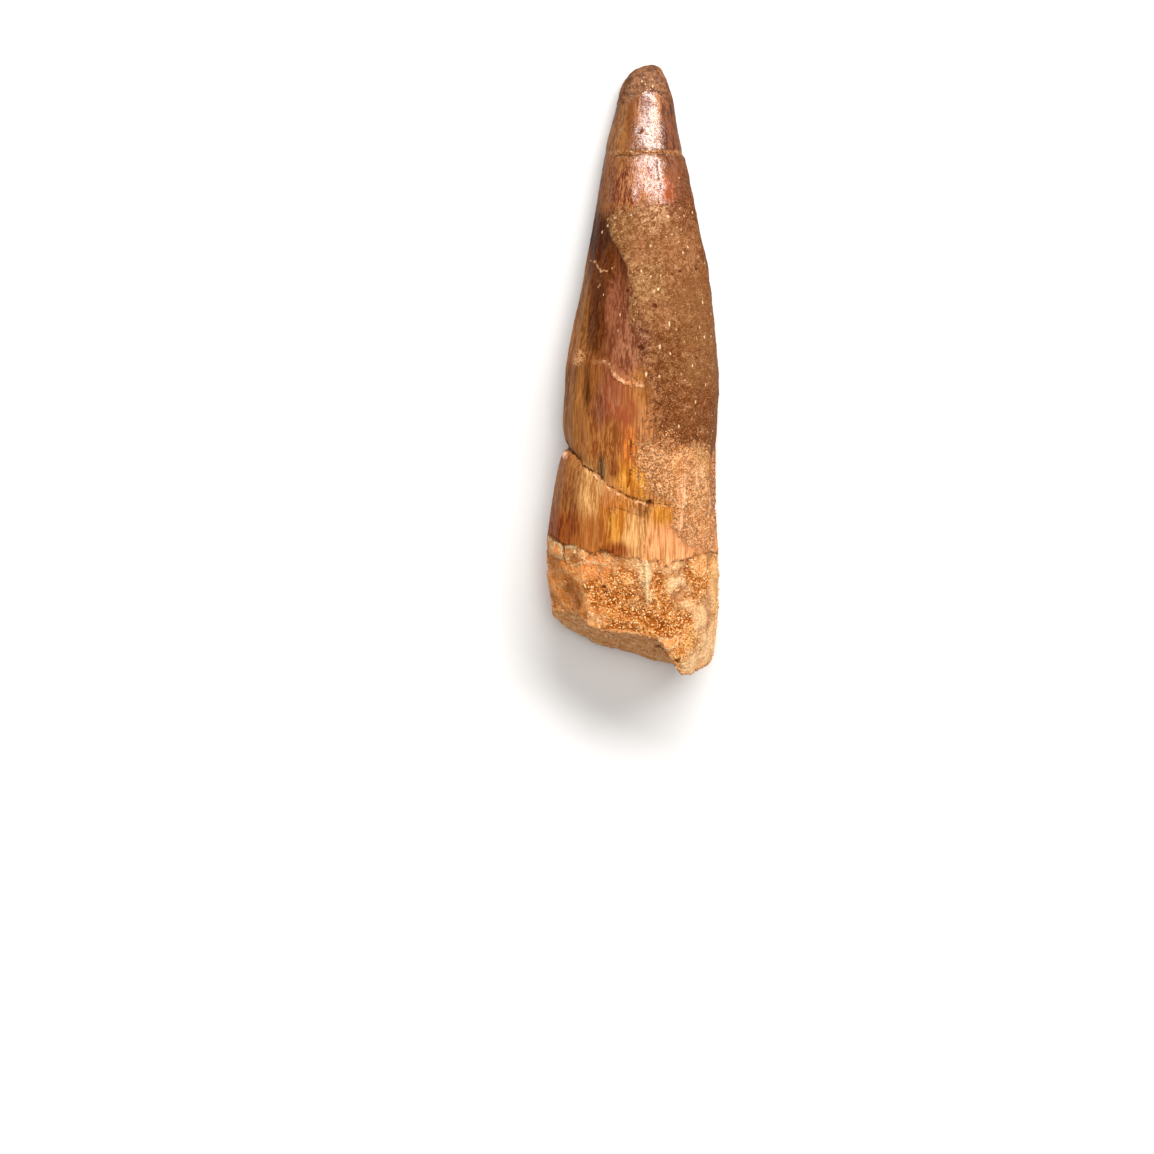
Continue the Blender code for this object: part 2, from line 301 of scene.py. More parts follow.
tooth = bpy.data.objects.new("fossil_tooth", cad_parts["tooth"].data.copy())
bpy.context.scene.collection.objects.link(tooth)
tooth.data.materials.clear()
pick(tooth)
bpy.ops.object.mode_set(mode="EDIT")
bpy.ops.mesh.select_all(action="SELECT")
bpy.ops.mesh.remove_doubles(threshold=SEAM_GAP)
bpy.ops.mesh.tris_convert_to_quads(face_threshold=PAIRING_ANGLE, shape_threshold=PAIRING_ANGLE)
bpy.ops.mesh.normals_make_consistent(inside=False)
bpy.ops.object.mode_set(mode="OBJECT")
use_modifier(tooth, "SUBSURF", levels=2, render_levels=2)
use_modifier(tooth, "REMESH", mode="VOXEL", voxel_size=VOXEL_MM * MM)
use_modifier(tooth, "SMOOTH", factor=0.5, iterations=3)
print("points on the tooth:", len(tooth.data.vertices), "faces:", len(tooth.data.polygons))

# %% [markdown]
# ## Reading places off the surface
#
# Every marking on the real tooth has a place: a crack runs from here to there, the sand stops at
# this edge. Each is written as a short line or outline in millimetres, seen from above, and what
# the mesh carries is the distance to it. A distance can be blurred, frayed or cut off anywhere,
# so one number at each point gives a crisp edge, a soft stain or a groove.


# %% Distances
def read_points():
    """Positions in millimetres and outward directions of all points of the tooth."""
    count = len(tooth.data.vertices)
    places, outwards = np.empty(count * 3), np.empty(count * 3)
    tooth.data.vertices.foreach_get("co", places)
    tooth.data.vertices.foreach_get("normal", outwards)
    return places.reshape(-1, 3) / MM, outwards.reshape(-1, 3)


def ease(low, high, values):
    """0 at low, 1 at high, and an even slope between them."""
    share = np.clip((values - low) / (high - low), 0, 1)
    return share * share * (3 - 2 * share)


def to_line(line):
    """Distance to an open line, positive on its left side, and how far past its ends."""
    nearest = np.full(len(flat), 1e9)
    side, past = np.ones(len(flat)), np.zeros(len(flat))
    for index, (start, end) in enumerate(zip(line, line[1:])):
        run = np.subtract(end, start)
        length = np.hypot(*run)
        run = run / length
        along = (flat - start) @ run
        across = (flat - start) @ np.array((-run[1], run[0]))
        offset = np.hypot(across, along - np.clip(along, 0, length))
        over = np.zeros(len(flat))
        if index == 0:
            over = np.maximum(over, -along)
        if index == len(line) - 2:
            over = np.maximum(over, along - length)
        closer = offset < nearest
        nearest[closer] = offset[closer]
        side[closer] = np.where(across[closer] < 0, -1, 1)
        past[closer] = over[closer]
    return nearest * side, past


def to_outline(outline):
    """Distance to a closed outline, positive inside it."""
    distance, _ = to_line([*outline, outline[0]])
    inside = np.zeros(len(flat), bool)
    for (ax, ay), (bx, by) in zip(outline, [*outline[1:], outline[0]]):
        spans = (ay > flat[:, 1]) != (by > flat[:, 1])
        crossing = ax + (flat[:, 1] - ay) / (by - ay + 1e-12) * (bx - ax)
        inside ^= spans & (flat[:, 0] < crossing)
    return np.abs(distance) * np.where(inside, 1, -1)


def level_of(line):
    """How far a point lies above a line that runs across the tooth."""
    xs, ys = zip(*line)
    return flat[:, 1] - np.interp(flat[:, 0], xs, ys)


def roughen(size, seed):
    """Smooth random numbers from about -1 to 1 with features of a size in millimetres."""
    shift = Vector((seed * 17.3, seed * 5.1, seed * 9.7))
    return np.array([noise.noise(Vector(p) / size + shift) for p in places]) * 1.6


def wander(size, seed, on_sides, on_face):
    """How far an edge strays in millimetres: far round the sides, and little on the face."""
    return roughen(size, seed) * (on_sides + (on_face - on_sides) * facing)


places, outwards = read_points()
flat = places[:, :2]
up = outwards[:, 2]
upper = up > 0
facing = ease(0.05, 0.4, up)
print("highest point in mm:", round(places[:, 2].max(), 2))

# %% [markdown]
# ## Where everything is
#
# The sand covers most of the face and wraps round the right side. The window at the left of it is
# bare enamel. A granular crust sits low on the right, and a worn cap on the point. On
# the hidden underside the same things are placed freely, so that it looks as lived in as the face.
# Each outline is a closed loop of points, and each level runs from the left side to the right.

# %% Outlines of the layers
SAND_FACE = (
    (-3.57, 20.8), (-3.0, 18.3), (-2.2, 17.1), (-1.05, 14.7), (-0.75, 13.1), (-0.35, 10.6),
    (-0.6, 7.4), (0.35, 5.7), (1.3, 3.6), (0.9, 1.5), (2.0, -0.1), (1.75, -2.0), (2.7, -4.3),
    (3.0, -8.2), (4.3, -10.2), (7.9, -11.3), (13.5, -11.0), (13.5, 31.0), (7.3, 30.6),
    (7.0, 27.8), (6.4, 25.0), (5.2, 22.9), (3.85, 23.5), (2.3, 23.9), (0.9, 23.1), (-0.5, 22.2),
    (-2.0, 22.7), (-3.15, 22.0),
)
SAND_UNDER = (
    (-1.5, 24.0), (-2.6, 15.0), (-4.5, 9.0), (-3.0, 2.0), (1.0, -3.0), (3.0, -9.0), (6.0, -13.0),
    (13.5, -11.0), (13.5, 31.0), (6.5, 30.5), (4.0, 26.5), (1.5, 27.0),
)
CRUST_FACE = (
    (2.4, -9.2), (4.8, -9.4), (7.9, -11.0), (10.1, -9.8), (10.7, -11.6), (10.6, -15.2),
    (11.4, -19.4), (11.6, -26.4), (7.9, -24.3), (5.4, -22.0), (5.9, -19.4), (3.0, -17.6),
    (1.3, -15.2), (0.9, -11.0),
)
CRUST_UNDER = (
    (-8.0, -14.0), (-4.0, -11.5), (0.5, -14.0), (5.0, -12.5), (12.6, -12.0), (12.6, -18.0),
    (7.0, -20.0), (3.0, -17.5), (-1.0, -20.5), (-6.0, -23.0), (-9.5, -19.0),
)
ENAMEL_END_FACE = (
    (-12.3, -22.6), (-12.0, -22.8), (-10.2, -24.2), (-7.9, -24.4), (-7.0, -24.9), (-6.1, -25.5),
    (-4.5, -25.1), (-3.1, -25.5), (-1.3, -26.1), (0.5, -26.1), (1.4, -26.8), (3.2, -26.4),
    (4.4, -27.4), (5.8, -26.5), (7.4, -26.4), (8.5, -25.8), (9.9, -25.5), (12.2, -25.4),
)
ENAMEL_END_UNDER = (
    (-12.3, -22.6), (-10.0, -24.0), (-8.0, -24.2), (-4.0, -25.6), (1.0, -25.0), (6.0, -26.2),
    (12.2, -25.4),
)
CAP_START = (
    (-2.6, 37.2), (-1.0, 37.6), (0.2, 38.2), (1.5, 39.2), (2.3, 39.4), (3.2, 39.3), (3.9, 38.7),
    (4.8, 38.0), (5.8, 37.6),
)
PLATES = (
    ((-12.3, -23.2), (-11.4, -23.6), (-10.2, -24.2), (-9.95, -25.5), (-10.1, -26.4), (-12.3, -25.4)),
    ((-9.8, -24.4), (-7.7, -24.5), (-8.6, -25.6), (-9.5, -26.7), (-9.9, -26.2)),
    ((-7.9, -25.4), (-7.2, -24.9), (-6.6, -25.6), (-6.9, -26.4), (-7.6, -26.2)),
    ((3.3, -37.1), (5.0, -37.4), (6.5, -36.8), (6.2, -38.2), (4.9, -39.0), (3.6, -38.6)),
    ((-6.6, -33.6), (-4.9, -34.9), (-4.6, -36.3), (-6.6, -35.8)),
)
SCALLOP = (
    (-10.9, -30.4), (-9.6, -29.3), (-8.2, -29.3), (-7.3, -30.2), (-7.1, -31.6), (-7.5, -33.0),
    (-8.8, -33.8), (-10.4, -33.6),
)

sand = np.where(upper, to_outline(SAND_FACE), to_outline(SAND_UNDER)) + wander(3.2, 4, 2.3, 0.15)
crust = np.where(upper, to_outline(CRUST_FACE), to_outline(CRUST_UNDER)) + wander(2.6, 5, 2.4, 0.9)
root = -np.where(upper, level_of(ENAMEL_END_FACE), level_of(ENAMEL_END_UNDER))
cap = level_of(CAP_START)
plates = np.max([to_outline(plate) for plate in PLATES], axis=0) * facing - (1 - facing)
scallop = np.where(upper, to_outline(SCALLOP), -5.0)
leans_down_the_tooth = ease(-0.2, -0.7, outwards[:, 1])
broken = leans_down_the_tooth * ease(-31.0, -32.5, places[:, 1])
print("share of points under sand:", round(float((sand > 0).mean()), 2))

# %% [markdown]
# ## Lines and spots
#
# Cracks, scratches and chipped ridges are narrow, so each is a line with a half width in
# millimetres and a strength from 0 to 1. Which side of the line a point is on goes into the sign of
# its distance, and the surface can then draw a line finer than the mesh. Pits and bright flecks
# are round or slightly long spots.

# %% Lines and spots
# half width in millimetres, strength, points from one end to the other
DARK_LINES = {
    "glued crack at the notch": (0.1, 1.0, ((-9.4, -9.9), (-9.1, -10.7), (-8.5, -11.4), (-7.5, -12.4))),
    "glued crack, left": (
        0.08, 0.9, ((-7.5, -12.4), (-7.1, -13.2), (-6.1, -13.8), (-5.0, -14.4), (-4.3, -15.1)),
    ),
    "glued crack, middle": (
        0.07, 0.85, ((-4.3, -15.1), (-3.8, -15.9), (-2.7, -16.5), (-1.6, -17.1), (-0.6, -17.7)),
    ),
    "glued crack, filled part": (0.12, 0.7, ((-0.6, -17.7), (0.5, -18.0), (1.9, -18.3), (2.8, -18.6))),
    "glued crack, right": (0.06, 0.55, ((2.8, -18.6), (4.1, -18.7), (5.2, -18.8))),
    "second crack": (0.03, 0.45, ((-2.9, -19.0), (-1.65, -19.4), (-0.2, -19.9), (1.4, -20.5))),
    "long seam": (0.03, 0.35, ((1.3, -19.4), (1.5, -23.0), (1.35, -26.3))),
    "upper slit": (0.06, 0.6, ((-0.4, -9.4), (-0.4, -11.8))),
    "lower slit": (0.07, 0.8, ((-0.5, -13.8), (-0.55, -15.4), (-1.0, -16.4))),
    "left slit": (0.05, 0.5, ((-3.4, -19.2), (-3.3, -21.4), (-3.5, -23.4))),
    "crack in the point": (0.04, 0.75, ((3.35, 29.7), (3.45, 27.4), (3.8, 25.3))),
    "top of the joint": (0.04, 0.7, ((-0.4, 30.9), (1.0, 31.06), (2.3, 31.0), (4.1, 31.06), (5.6, 31.1))),
    "foot of the joint": (
        0.05, 0.75, ((-2.6, 30.1), (-1.3, 30.2), (0.1, 30.1), (1.2, 30.27), (3.3, 30.2), (4.6, 30.2)),
    ),
    "edge of the worn cap": (0.05, 0.6, ((1.5, 39.2), (2.3, 39.4), (3.2, 39.3), (3.9, 38.7), (4.8, 38.0))),
    # painted shadow along the top edge of the scallop's hollow, over a faint groove
    "painted shadow at the rim of the scallop": (0.04, 0.4, ((-8.8, -29.3), (-8.0, -29.5), (-7.3, -30.3), (-7.1, -31.4))),
    "gap between the plates": (0.06, 0.8, ((-9.9, -24.3), (-9.9, -26.3), (-9.5, -26.9))),
}
UNDER_LINES = {
    "glued crack": (
        0.08, 0.9, ((-9.9, -10.4), (-6.0, -12.0), (-3.0, -14.0), (0.5, -14.6), (4.0, -15.6), (11.6, -19.6)),
    ),
    "joint": (0.06, 0.7, ((-4.2, 30.6), (-1.5, 30.2), (1.5, 29.9), (4.5, 30.1), (7.2, 30.6))),
    "left seam": (0.03, 0.4, ((-4.0, 6.0), (-3.5, -2.0), (-4.2, -9.0))),
    "right seam": (0.03, 0.4, ((5.5, -3.0), (6.2, -9.0), (5.8, -14.0))),
}
PALE_LINES = {
    "flake, broad back": (
        0.3, 0.1, ((-5.6, 1.3), (-4.0, 0.9), (-2.6, 0.0), (-1.3, -0.9), (0.2, -1.5), (1.8, -2.0)),
    ),
    "flake, crest": (0.17, 0.65, ((-3.1, -0.2), (-2.2, -1.2), (-1.3, -1.7), (-0.2, -2.0), (1.4, -2.2))),
    "flake, upper lip": (0.12, 0.55, ((-5.2, 1.4), (-3.8, 1.1), (-2.9, 0.4))),
    "squiggle": (
        0.04, 0.6, ((-6.0, 15.4), (-5.2, 15.2), (-5.0, 14.5), (-4.5, 13.9), (-3.6, 14.0), (-3.1, 14.2)),
    ),
    "squiggle, end": (0.08, 0.6, ((-3.9, 13.8), (-3.3, 14.1), (-2.9, 14.4))),
    "upper scratch": (0.05, 0.5, ((-5.0, 12.6), (-4.6, 12.2), (-4.8, 11.6))),
    "ridge down the root": (0.3, 0.95, ((1.75, -26.6), (1.8, -29.5), (2.0, -32.5))),
    "rim of the plate": (0.12, 0.6, ((-6.6, -33.4), (-5.0, -34.9), (-4.4, -35.2))),
    "edge of the prong": (0.1, 0.6, ((5.3, -38.8), (6.5, -40.6), (8.0, -42.3))),
    "lip under the crack": (
        0.09, 0.5, ((-5.7, -14.5), (-4.3, -15.6), (-3.2, -16.7), (-1.6, -17.6), (0.0, -18.4)),
    ),
    # the lips of the plates are pale, partly the chipped edges' own colour and partly painted highlight
    # along them
    "lip of the left plate": (0.1, 0.7, ((-12.0, -23.2), (-11.4, -23.9), (-10.6, -24.3), (-10.0, -24.6))),
    "lip of the middle plate": (
        0.1, 0.7, ((-9.6, -24.6), (-8.6, -24.5), (-7.8, -24.8), (-7.4, -25.4), (-7.9, -26.3)),
    ),
    "fold in the smooth root": (
        0.12, 0.5, ((-9.0, -27.4), (-7.8, -26.9), (-6.0, -26.7), (-4.6, -27.2), (-3.0, -27.0)),
    ),
    "crystal in the crack": (0.25, 0.6, ((0.5, -18.2), (1.5, -18.6))),
    "second streak in the crust": (0.28, 0.75, ((9.3, -13.4), (9.7, -15.2), (10.4, -17.8), (10.6, -19.6))),
    "crystal streak, right": (0.4, 0.95, ((7.0, -14.6), (6.8, -16.4), (6.9, -18.8))),
    "crystal streak, left": (0.34, 0.9, ((6.0, -16.4), (6.3, -17.8), (6.5, -19.2))),
    "crystal streak, foot": (0.4, 0.9, ((6.8, -19.9), (6.5, -21.4), (6.0, -22.2))),
    "crystal streak, far right": (0.3, 0.8, ((8.6, -14.2), (8.8, -16.4))),
}
# x, y, half width, half length
PITS = (
    (1.03, 5.6, 0.35, 0.3), (1.83, 5.3, 0.25, 0.25), (-0.04, 5.4, 0.25, 0.2), (1.03, 3.2, 0.5, 0.35),
    (2.3, 4.4, 0.2, 0.2), (-0.9, 11.1, 0.2, 0.25), (-1.0, 9.7, 0.22, 0.22), (-1.1, 8.6, 0.22, 0.28),
    (0.14, 10.1, 0.22, 0.22), (3.0, 9.0, 0.3, 0.3), (6.4, 13.8, 0.2, 0.2), (8.7, 14.3, 0.25, 0.25),
    (0.85, 33.65, 0.32, 0.32), (2.1, -18.4, 0.5, 0.3), (-4.3, -30.3, 0.4, 0.35), (3.9, -35.8, 0.45, 0.35),
    (3.5, -38.7, 0.8, 0.35), (4.6, -39.5, 0.6, 0.4), (6.1, -40.5, 0.6, 0.4), (8.6, 1.8, 0.2, 0.2),
    (3.9, 18.4, 0.2, 0.2), (-9.1, -10.4, 0.45, 0.5),
)
FLECKS = (
    (-0.3, 30.65, 0.2, 0.16), (0.7, 30.5, 0.12, 0.12), (1.9, 30.7, 0.16, 0.14), (2.8, 30.7, 0.16, 0.14),
    (1.2, 40.6, 0.14, 0.2), (1.7, 40.2, 0.12, 0.16), (2.6, 40.9, 0.12, 0.14), (-4.4, 19.4, 0.12, 0.3),
    (-3.6, 20.3, 0.2, 0.2), (-4.2, 10.6, 0.07, 0.3), (-2.2, 5.6, 0.08, 0.3), (-5.4, 10.4, 0.07, 0.25),
    (-2.3, 8.8, 0.12, 0.28), (-1.9, 7.8, 0.1, 0.3), (2.4, 13.1, 0.16, 0.16), (2.8, 10.9, 0.14, 0.12),
    (3.4, 11.3, 0.18, 0.26), (3.1, 10.2, 0.12, 0.14), (4.9, 6.5, 0.12, 0.6), (3.6, 3.3, 0.16, 0.45),
    (1.75, -0.5, 0.16, 0.45), (8.1, 0.6, 0.11, 0.32), (1.2, 14.9, 0.1, 0.35), (6.3, 18.0, 0.1, 0.25),
    (4.8, 21.5, 0.2, 0.22), (5.3, 19.0, 0.12, 0.12), (9.9, -2.0, 0.1, 0.25), (2.7, 39.9, 0.12, 0.3),
    (1.5, 41.2, 0.14, 0.14), (2.0, 40.9, 0.1, 0.12), (-2.6, 21.4, 0.3, 0.14), (7.0, 4.0, 0.08, 0.2),
)
JOINT_MIDDLE = 30.6
CHIP = (-9.5, -11.8, 0.75, 0.55)
ROSETTE = (-7.8, 1.8, 1.5, 1.5)
FAR_MM = 9.0
DROP_SHARE = 0.6
OUTSIDE = -3.0


def draw(lines, where):
    """Distance to the nearest line, its half width less what is past its end, and its strength."""
    distance, width = np.full(len(flat), FAR_MM), np.full(len(flat), -1.0)
    strength = np.zeros(len(flat))
    for half, force, line in lines.values():
        away, past = to_line(line)
        closer = np.abs(away) - half < np.abs(distance) - np.maximum(width, 0)
        distance[closer] = away[closer]
        width[closer] = (half - past)[closer]
        strength[closer] = force
    distance[~where], width[~where] = FAR_MM, -1.0
    return distance, width, strength


def spots(table):
    """Depth inside the nearest of some spots: 1 at a middle, 0 at a rim and less outside."""
    reach = []
    for x, y, half_x, half_y in table:
        offset = flat - (x, y)
        nearest = np.argmin(np.where(upper, np.hypot(*offset.T), np.inf))
        drop = (places[:, 2] - places[nearest, 2]) / half_x
        across, along = offset[:, 0] / half_x, offset[:, 1] / half_y
        reach.append(1 - np.sqrt(across**2 + along**2 + (DROP_SHARE * drop) ** 2))
    return np.where(upper, np.max(reach, axis=0), OUTSIDE)


dark_readings = zip(draw(DARK_LINES, upper), draw(UNDER_LINES, ~upper))
dark, dark_width, dark_force = [np.where(upper, face, under) for face, under in dark_readings]
pale, pale_width, pale_force = draw(PALE_LINES, upper)
pits, flecks, chip, rosette = [spots(table) for table in (PITS, FLECKS, [CHIP], [ROSETTE])]
print("lines:", len(DARK_LINES) + len(UNDER_LINES) + len(PALE_LINES), "spots:", len(PITS) + len(FLECKS))

# %% [markdown]
# ## Colour washes
#
# The enamel's colour drifts: amber near the point, chocolate in the window, plum and gold lower
# down, and cream over the root. A painter would lay soft washes first and streak them after. Each
# wash here is a soft oval with two paints, one for the ground and one for the streaks or crumbs
# that will be laid into it. Its last number says how crumbly the surface is there, or, in
# the sand, how many millimetres the edge of the sand is frayed.

# %% Paints and washes
PAINTS = {
    "amber": (158, 102, 52),
    "umber": (116, 66, 28),
    "sienna": (146, 90, 46),
    "oxblood": (104, 42, 18),
    "rose": (194, 118, 80),
    "wine": (150, 74, 44),
    "chocolate": (86, 45, 20),
    "black_brown": (58, 24, 8),
    "cocoa": (106, 57, 28),
    "espresso": (74, 33, 10),
    "plum": (140, 84, 58),
    "mulberry": (108, 56, 34),
    "dusk": (158, 102, 72),
    "russet": (128, 68, 32),
    "tan": (172, 110, 58),
    "clay": (186, 120, 74),
    "rust": (160, 84, 38),
    "slate": (98, 82, 58),
    "gold": (214, 146, 66),
    "bronze": (168, 94, 28),
    "straw": (224, 168, 106),
    "apricot": (252, 172, 106),
    "marmalade": (234, 136, 62),
    "dusty_peach": (238, 160, 108),
    "salmon": (252, 150, 84),
    "cream": (255, 194, 126),
    "bone": (255, 208, 156),
    "ochre": (218, 128, 48),
    "dark_ochre": (188, 98, 26),
    "sand": (170, 113, 70),
    "pale_sand": (208, 154, 110),
    "shaded_sand": (128, 76, 37),
    "olive_sand": (146, 94, 50),
    "rim_sand": (178, 130, 80),
    "red_sand": (140, 80, 36),
    "red_shade": (106, 53, 16),
}
# x, y, reach across, reach along, ground, streak, crumbliness where there is any
WASHES = (
    (-2.2, 34.8, 2.0, 4.5, "amber", "umber"),
    (-0.4, 34.4, 0.7, 4.0, "russet", "umber"),
    (2.0, 35.0, 1.7, 4.5, "clay", "russet"),
    (5.4, 33.4, 1.3, 4.5, "russet", "espresso"),
    (-3.4, 27.0, 1.3, 4.0, "sienna", "oxblood"),
    (-1.2, 26.0, 1.1, 2.2, "clay", "oxblood"),
    (2.3, 26.6, 1.6, 3.0, "clay", "wine"),
    (4.9, 25.0, 1.0, 1.6, "rose", "wine"),
    (7.0, 26.5, 1.5, 4.0, "russet", "umber"),
    (-4.2, 19.2, 1.6, 2.2, "chocolate", "black_brown"),
    (-4.0, 14.6, 1.6, 3.0, "cocoa", "espresso"),
    (-4.6, 11.2, 0.8, 1.6, "chocolate", "black_brown"),
    (-5.2, 6.6, 1.1, 3.4, "cocoa", "espresso"),
    (-2.6, 8.6, 1.2, 4.0, "plum", "mulberry"),
    (-0.6, 3.2, 1.3, 2.2, "dusk", "mulberry", 0.15),
    (-7.0, 9.0, 0.6, 6.0, "amber", "umber"),
    (-8.3, 3.0, 1.0, 2.6, "tan", "russet"),
    (-8.3, -4.2, 1.2, 4.5, "tan", "umber"),
    (-5.6, -1.4, 1.0, 2.6, "sienna", "russet"),
    (-4.6, -5.0, 1.0, 3.0, "plum", "mulberry"),
    (-3.0, -4.2, 1.0, 2.6, "dusk", "wine"),
    (-0.7, -6.0, 1.1, 2.4, "sienna", "wine"),
    (1.0, -2.6, 1.3, 1.8, "tan", "russet", 0.1),
    (-6.4, -3.0, 0.5, 2.4, "umber", "espresso"),
    (-4.5, -13.4, 0.35, 1.4, "slate", "espresso"),
    (6.6, -16.5, 1.2, 3.2, "apricot", "marmalade", 0.1),
    (9.6, -15.5, 1.0, 4.0, "straw", "tan", 0.1),
    (4.0, -10.6, 1.4, 2.0, "clay", "russet", 0.1),
    (-6.8, -9.2, 1.8, 3.0, "tan", "russet"),
    (-3.0, -9.4, 1.4, 2.6, "tan", "russet"),
    (-0.7, -10.6, 0.7, 2.8, "marmalade", "rust"),
    (-1.2, -14.4, 0.9, 1.6, "gold", "bronze"),
    (-2.6, -13.6, 0.6, 1.2, "russet", "espresso"),
    (0.9, -15.4, 1.0, 2.0, "gold", "bronze"),
    (2.9, -12.6, 1.5, 4.0, "clay", "russet", 0.1),
    (1.8, -7.2, 1.2, 2.5, "clay", "shaded_sand", 0.1),
    (11.4, -14.0, 0.7, 6.0, "sienna", "wine"),
    (-9.6, -16.2, 1.2, 4.0, "tan", "russet"),
    (-6.0, -16.4, 1.2, 2.6, "straw", "tan"),
    (-3.2, -18.6, 1.2, 1.8, "clay", "bronze"),
    (-9.6, -21.6, 1.6, 2.0, "rust", "oxblood"),
    (-5.4, -22.6, 1.8, 1.8, "tan", "rust"),
    (-2.6, -21.4, 1.2, 2.2, "gold", "bronze"),
    (0.4, -22.8, 1.6, 2.2, "straw", "tan"),
    (1.4, -19.4, 1.0, 0.9, "tan", "umber"),
    (-2.2, -25.0, 1.4, 0.8, "rust", "oxblood"),
    (4.4, -20.1, 1.8, 1.1, "gold", "bronze"),
    (7.8, -23.6, 2.8, 2.0, "dusty_peach", "clay", 0.15),
    (3.4, -24.0, 1.8, 1.8, "dusty_peach", "tan", 0.05),
    (9.6, -21.6, 1.4, 1.6, "apricot", "tan", 0.15),
    (-5.6, -27.4, 2.0, 1.2, "salmon", "marmalade", 0.05),
    (-9.0, -27.6, 1.6, 1.4, "marmalade", "rust", 0.1),
    (-8.8, -32.2, 1.5, 2.6, "marmalade", "rust", 0.2),
    (-5.2, -34.2, 1.2, 1.2, "salmon", "marmalade", 0.3),
    (-3.2, -30.6, 1.9, 1.4, "marmalade", "dark_ochre", 0.9),
    (-2.0, -34.0, 2.0, 1.4, "marmalade", "dark_ochre", 1.0),
    (1.5, -30.6, 1.1, 2.8, "bone", "ochre", 0.5),
    (6.6, -30.4, 1.4, 2.8, "bone", "ochre", 0.3),
    (9.0, -29.4, 1.4, 2.6, "apricot", "ochre", 0.55),
    (11.3, -29.0, 0.5, 3.2, "cream", "apricot", 0.1),
    (3.0, -35.6, 2.2, 1.8, "ochre", "dark_ochre", 1.0),
    (3.6, -31.8, 1.6, 1.8, "cream", "ochre", 0.6),
    (6.6, -36.0, 1.6, 1.6, "apricot", "dark_ochre", 0.9),
    (6.0, -39.6, 1.2, 1.0, "ochre", "dark_ochre", 1.1),
    (7.9, -37.4, 0.9, 1.3, "gold", "dark_ochre", 0.9),
    (8.8, -41.0, 1.8, 1.6, "bone", "salmon", 0.1),
    (10.0, -34.6, 1.4, 3.4, "bone", "salmon", 0.2),
)
SAND_WASHES = (
    (-1.2, 22.0, 1.6, 1.2, "rim_sand", "shaded_sand", 2.2),
    (2.9, 21.8, 1.8, 1.6, "pale_sand", "shaded_sand", 4.0),
    (6.8, 23.6, 1.8, 3.4, "russet", "red_shade", 2.6),
    (-2.6, 18.0, 1.0, 2.2, "rim_sand", "shaded_sand", 0.35),
    (0.4, 16.6, 1.6, 2.2, "sand", "shaded_sand", 0.4),
    (6.4, 16.6, 2.6, 3.6, "sand", "shaded_sand", 1.0),
    (2.0, 12.4, 1.8, 2.2, "rim_sand", "shaded_sand", 0.8),
    (-0.6, 10.0, 0.9, 2.2, "rim_sand", "shaded_sand", 1.6),
    (8.4, 10.6, 2.2, 4.0, "olive_sand", "shaded_sand", 1.0),
    # a narrow darker band down the right side: partly the sand's own colour, partly painted shade where the
    # crown turns away from the light
    (9.9, 16.6, 0.9, 5.0, "red_sand", "red_shade", 1.0),
    (2.6, 7.6, 1.6, 2.2, "sand", "shaded_sand", 1.0),
    (0.8, 4.0, 1.2, 2.0, "dusk", "mulberry", 4.5),
    (1.8, 0.4, 1.2, 2.2, "sand", "red_shade", 4.5),
    (4.6, 1.8, 2.0, 3.0, "olive_sand", "red_shade", 1.5),
    (9.2, 1.0, 2.0, 4.0, "olive_sand", "shaded_sand", 1.0),
    (5.8, -4.0, 2.0, 2.2, "red_sand", "red_shade", 2.0),
    (9.6, -5.0, 1.4, 3.4, "red_sand", "red_shade", 2.0),
    (2.0, -5.0, 1.2, 2.4, "clay", "red_shade", 4.0),
    (6.4, -8.6, 2.0, 1.6, "red_sand", "red_shade", 4.0),
)


OVAL_CORE = 0.35
OVAL_FALL = 2.5


def lay_washes(table):
    """Ground, streak colour and last number, 0 where a row has none, from a table of soft ovals."""
    total = np.full(len(flat), 1e-9)
    ground, streak = np.zeros((len(flat), 4)), np.zeros((len(flat), 4))
    number = np.zeros(len(flat))
    for x, y, reach_x, reach_y, under, over, *last in table:
        offset = ((flat[:, 0] - x) / reach_x) ** 2 + ((flat[:, 1] - y) / reach_y) ** 2
        weight = 1 / (OVAL_CORE + offset) ** OVAL_FALL
        total += weight
        ground += weight[:, None] * linear(*PAINTS[under])
        streak += weight[:, None] * linear(*PAINTS[over])
        number += weight * sum(last)
    return ground / total[:, None], streak / total[:, None], number / total


RED_PATCH = (5.0, 24.6)
TURNED_UNDER_CRUMBS = 0.45
JOINT_HALF_WIDTH = 0.38

ground, streak, crumb = lay_washes(WASHES)
coat, coat_shade, sand_fray = lay_washes(SAND_WASHES)
patches = ease(-0.6, 0.3, roughen(1.3, 3))
turned_under = ease(0.3, -0.5, up + roughen(2.2, 7) * 0.35)
clusters = ease(-0.5, 0.3, roughen(2.1, 8))
crumb += turned_under * (np.maximum(crumb, TURNED_UNDER_CRUMBS) - crumb)
crumb *= 0.42 + 0.68 * clusters
from_red_patch = np.hypot(flat[:, 0] - RED_PATCH[0], (flat[:, 1] - RED_PATCH[1]) * 0.8)
polish = ease(20.5, 26.0, flat[:, 1]) * (0.08 + 0.92 * ease(0.55, 0.85, up))
polish *= ease(0.3, 1.5, from_red_patch)
joint = JOINT_HALF_WIDTH - np.abs(flat[:, 1] - JOINT_MIDDLE)
print("paints:", len(PAINTS), "washes:", len(WASHES) + len(SAND_WASHES))

# %% [markdown]
# ## Relief
#
# On the real tooth the sand is a crust half a millimetre thick with a chipped edge, the root is
# spongy, and the enamel is nearly smooth. Sculpting would do it, but a Displace modifier with a
# noise texture and a vertex group of weights gives the same relief, and its strength can be read
# and changed. Each is applied before the next one starts.


# %% Displace the layers
WEIGHT_STEPS = 64


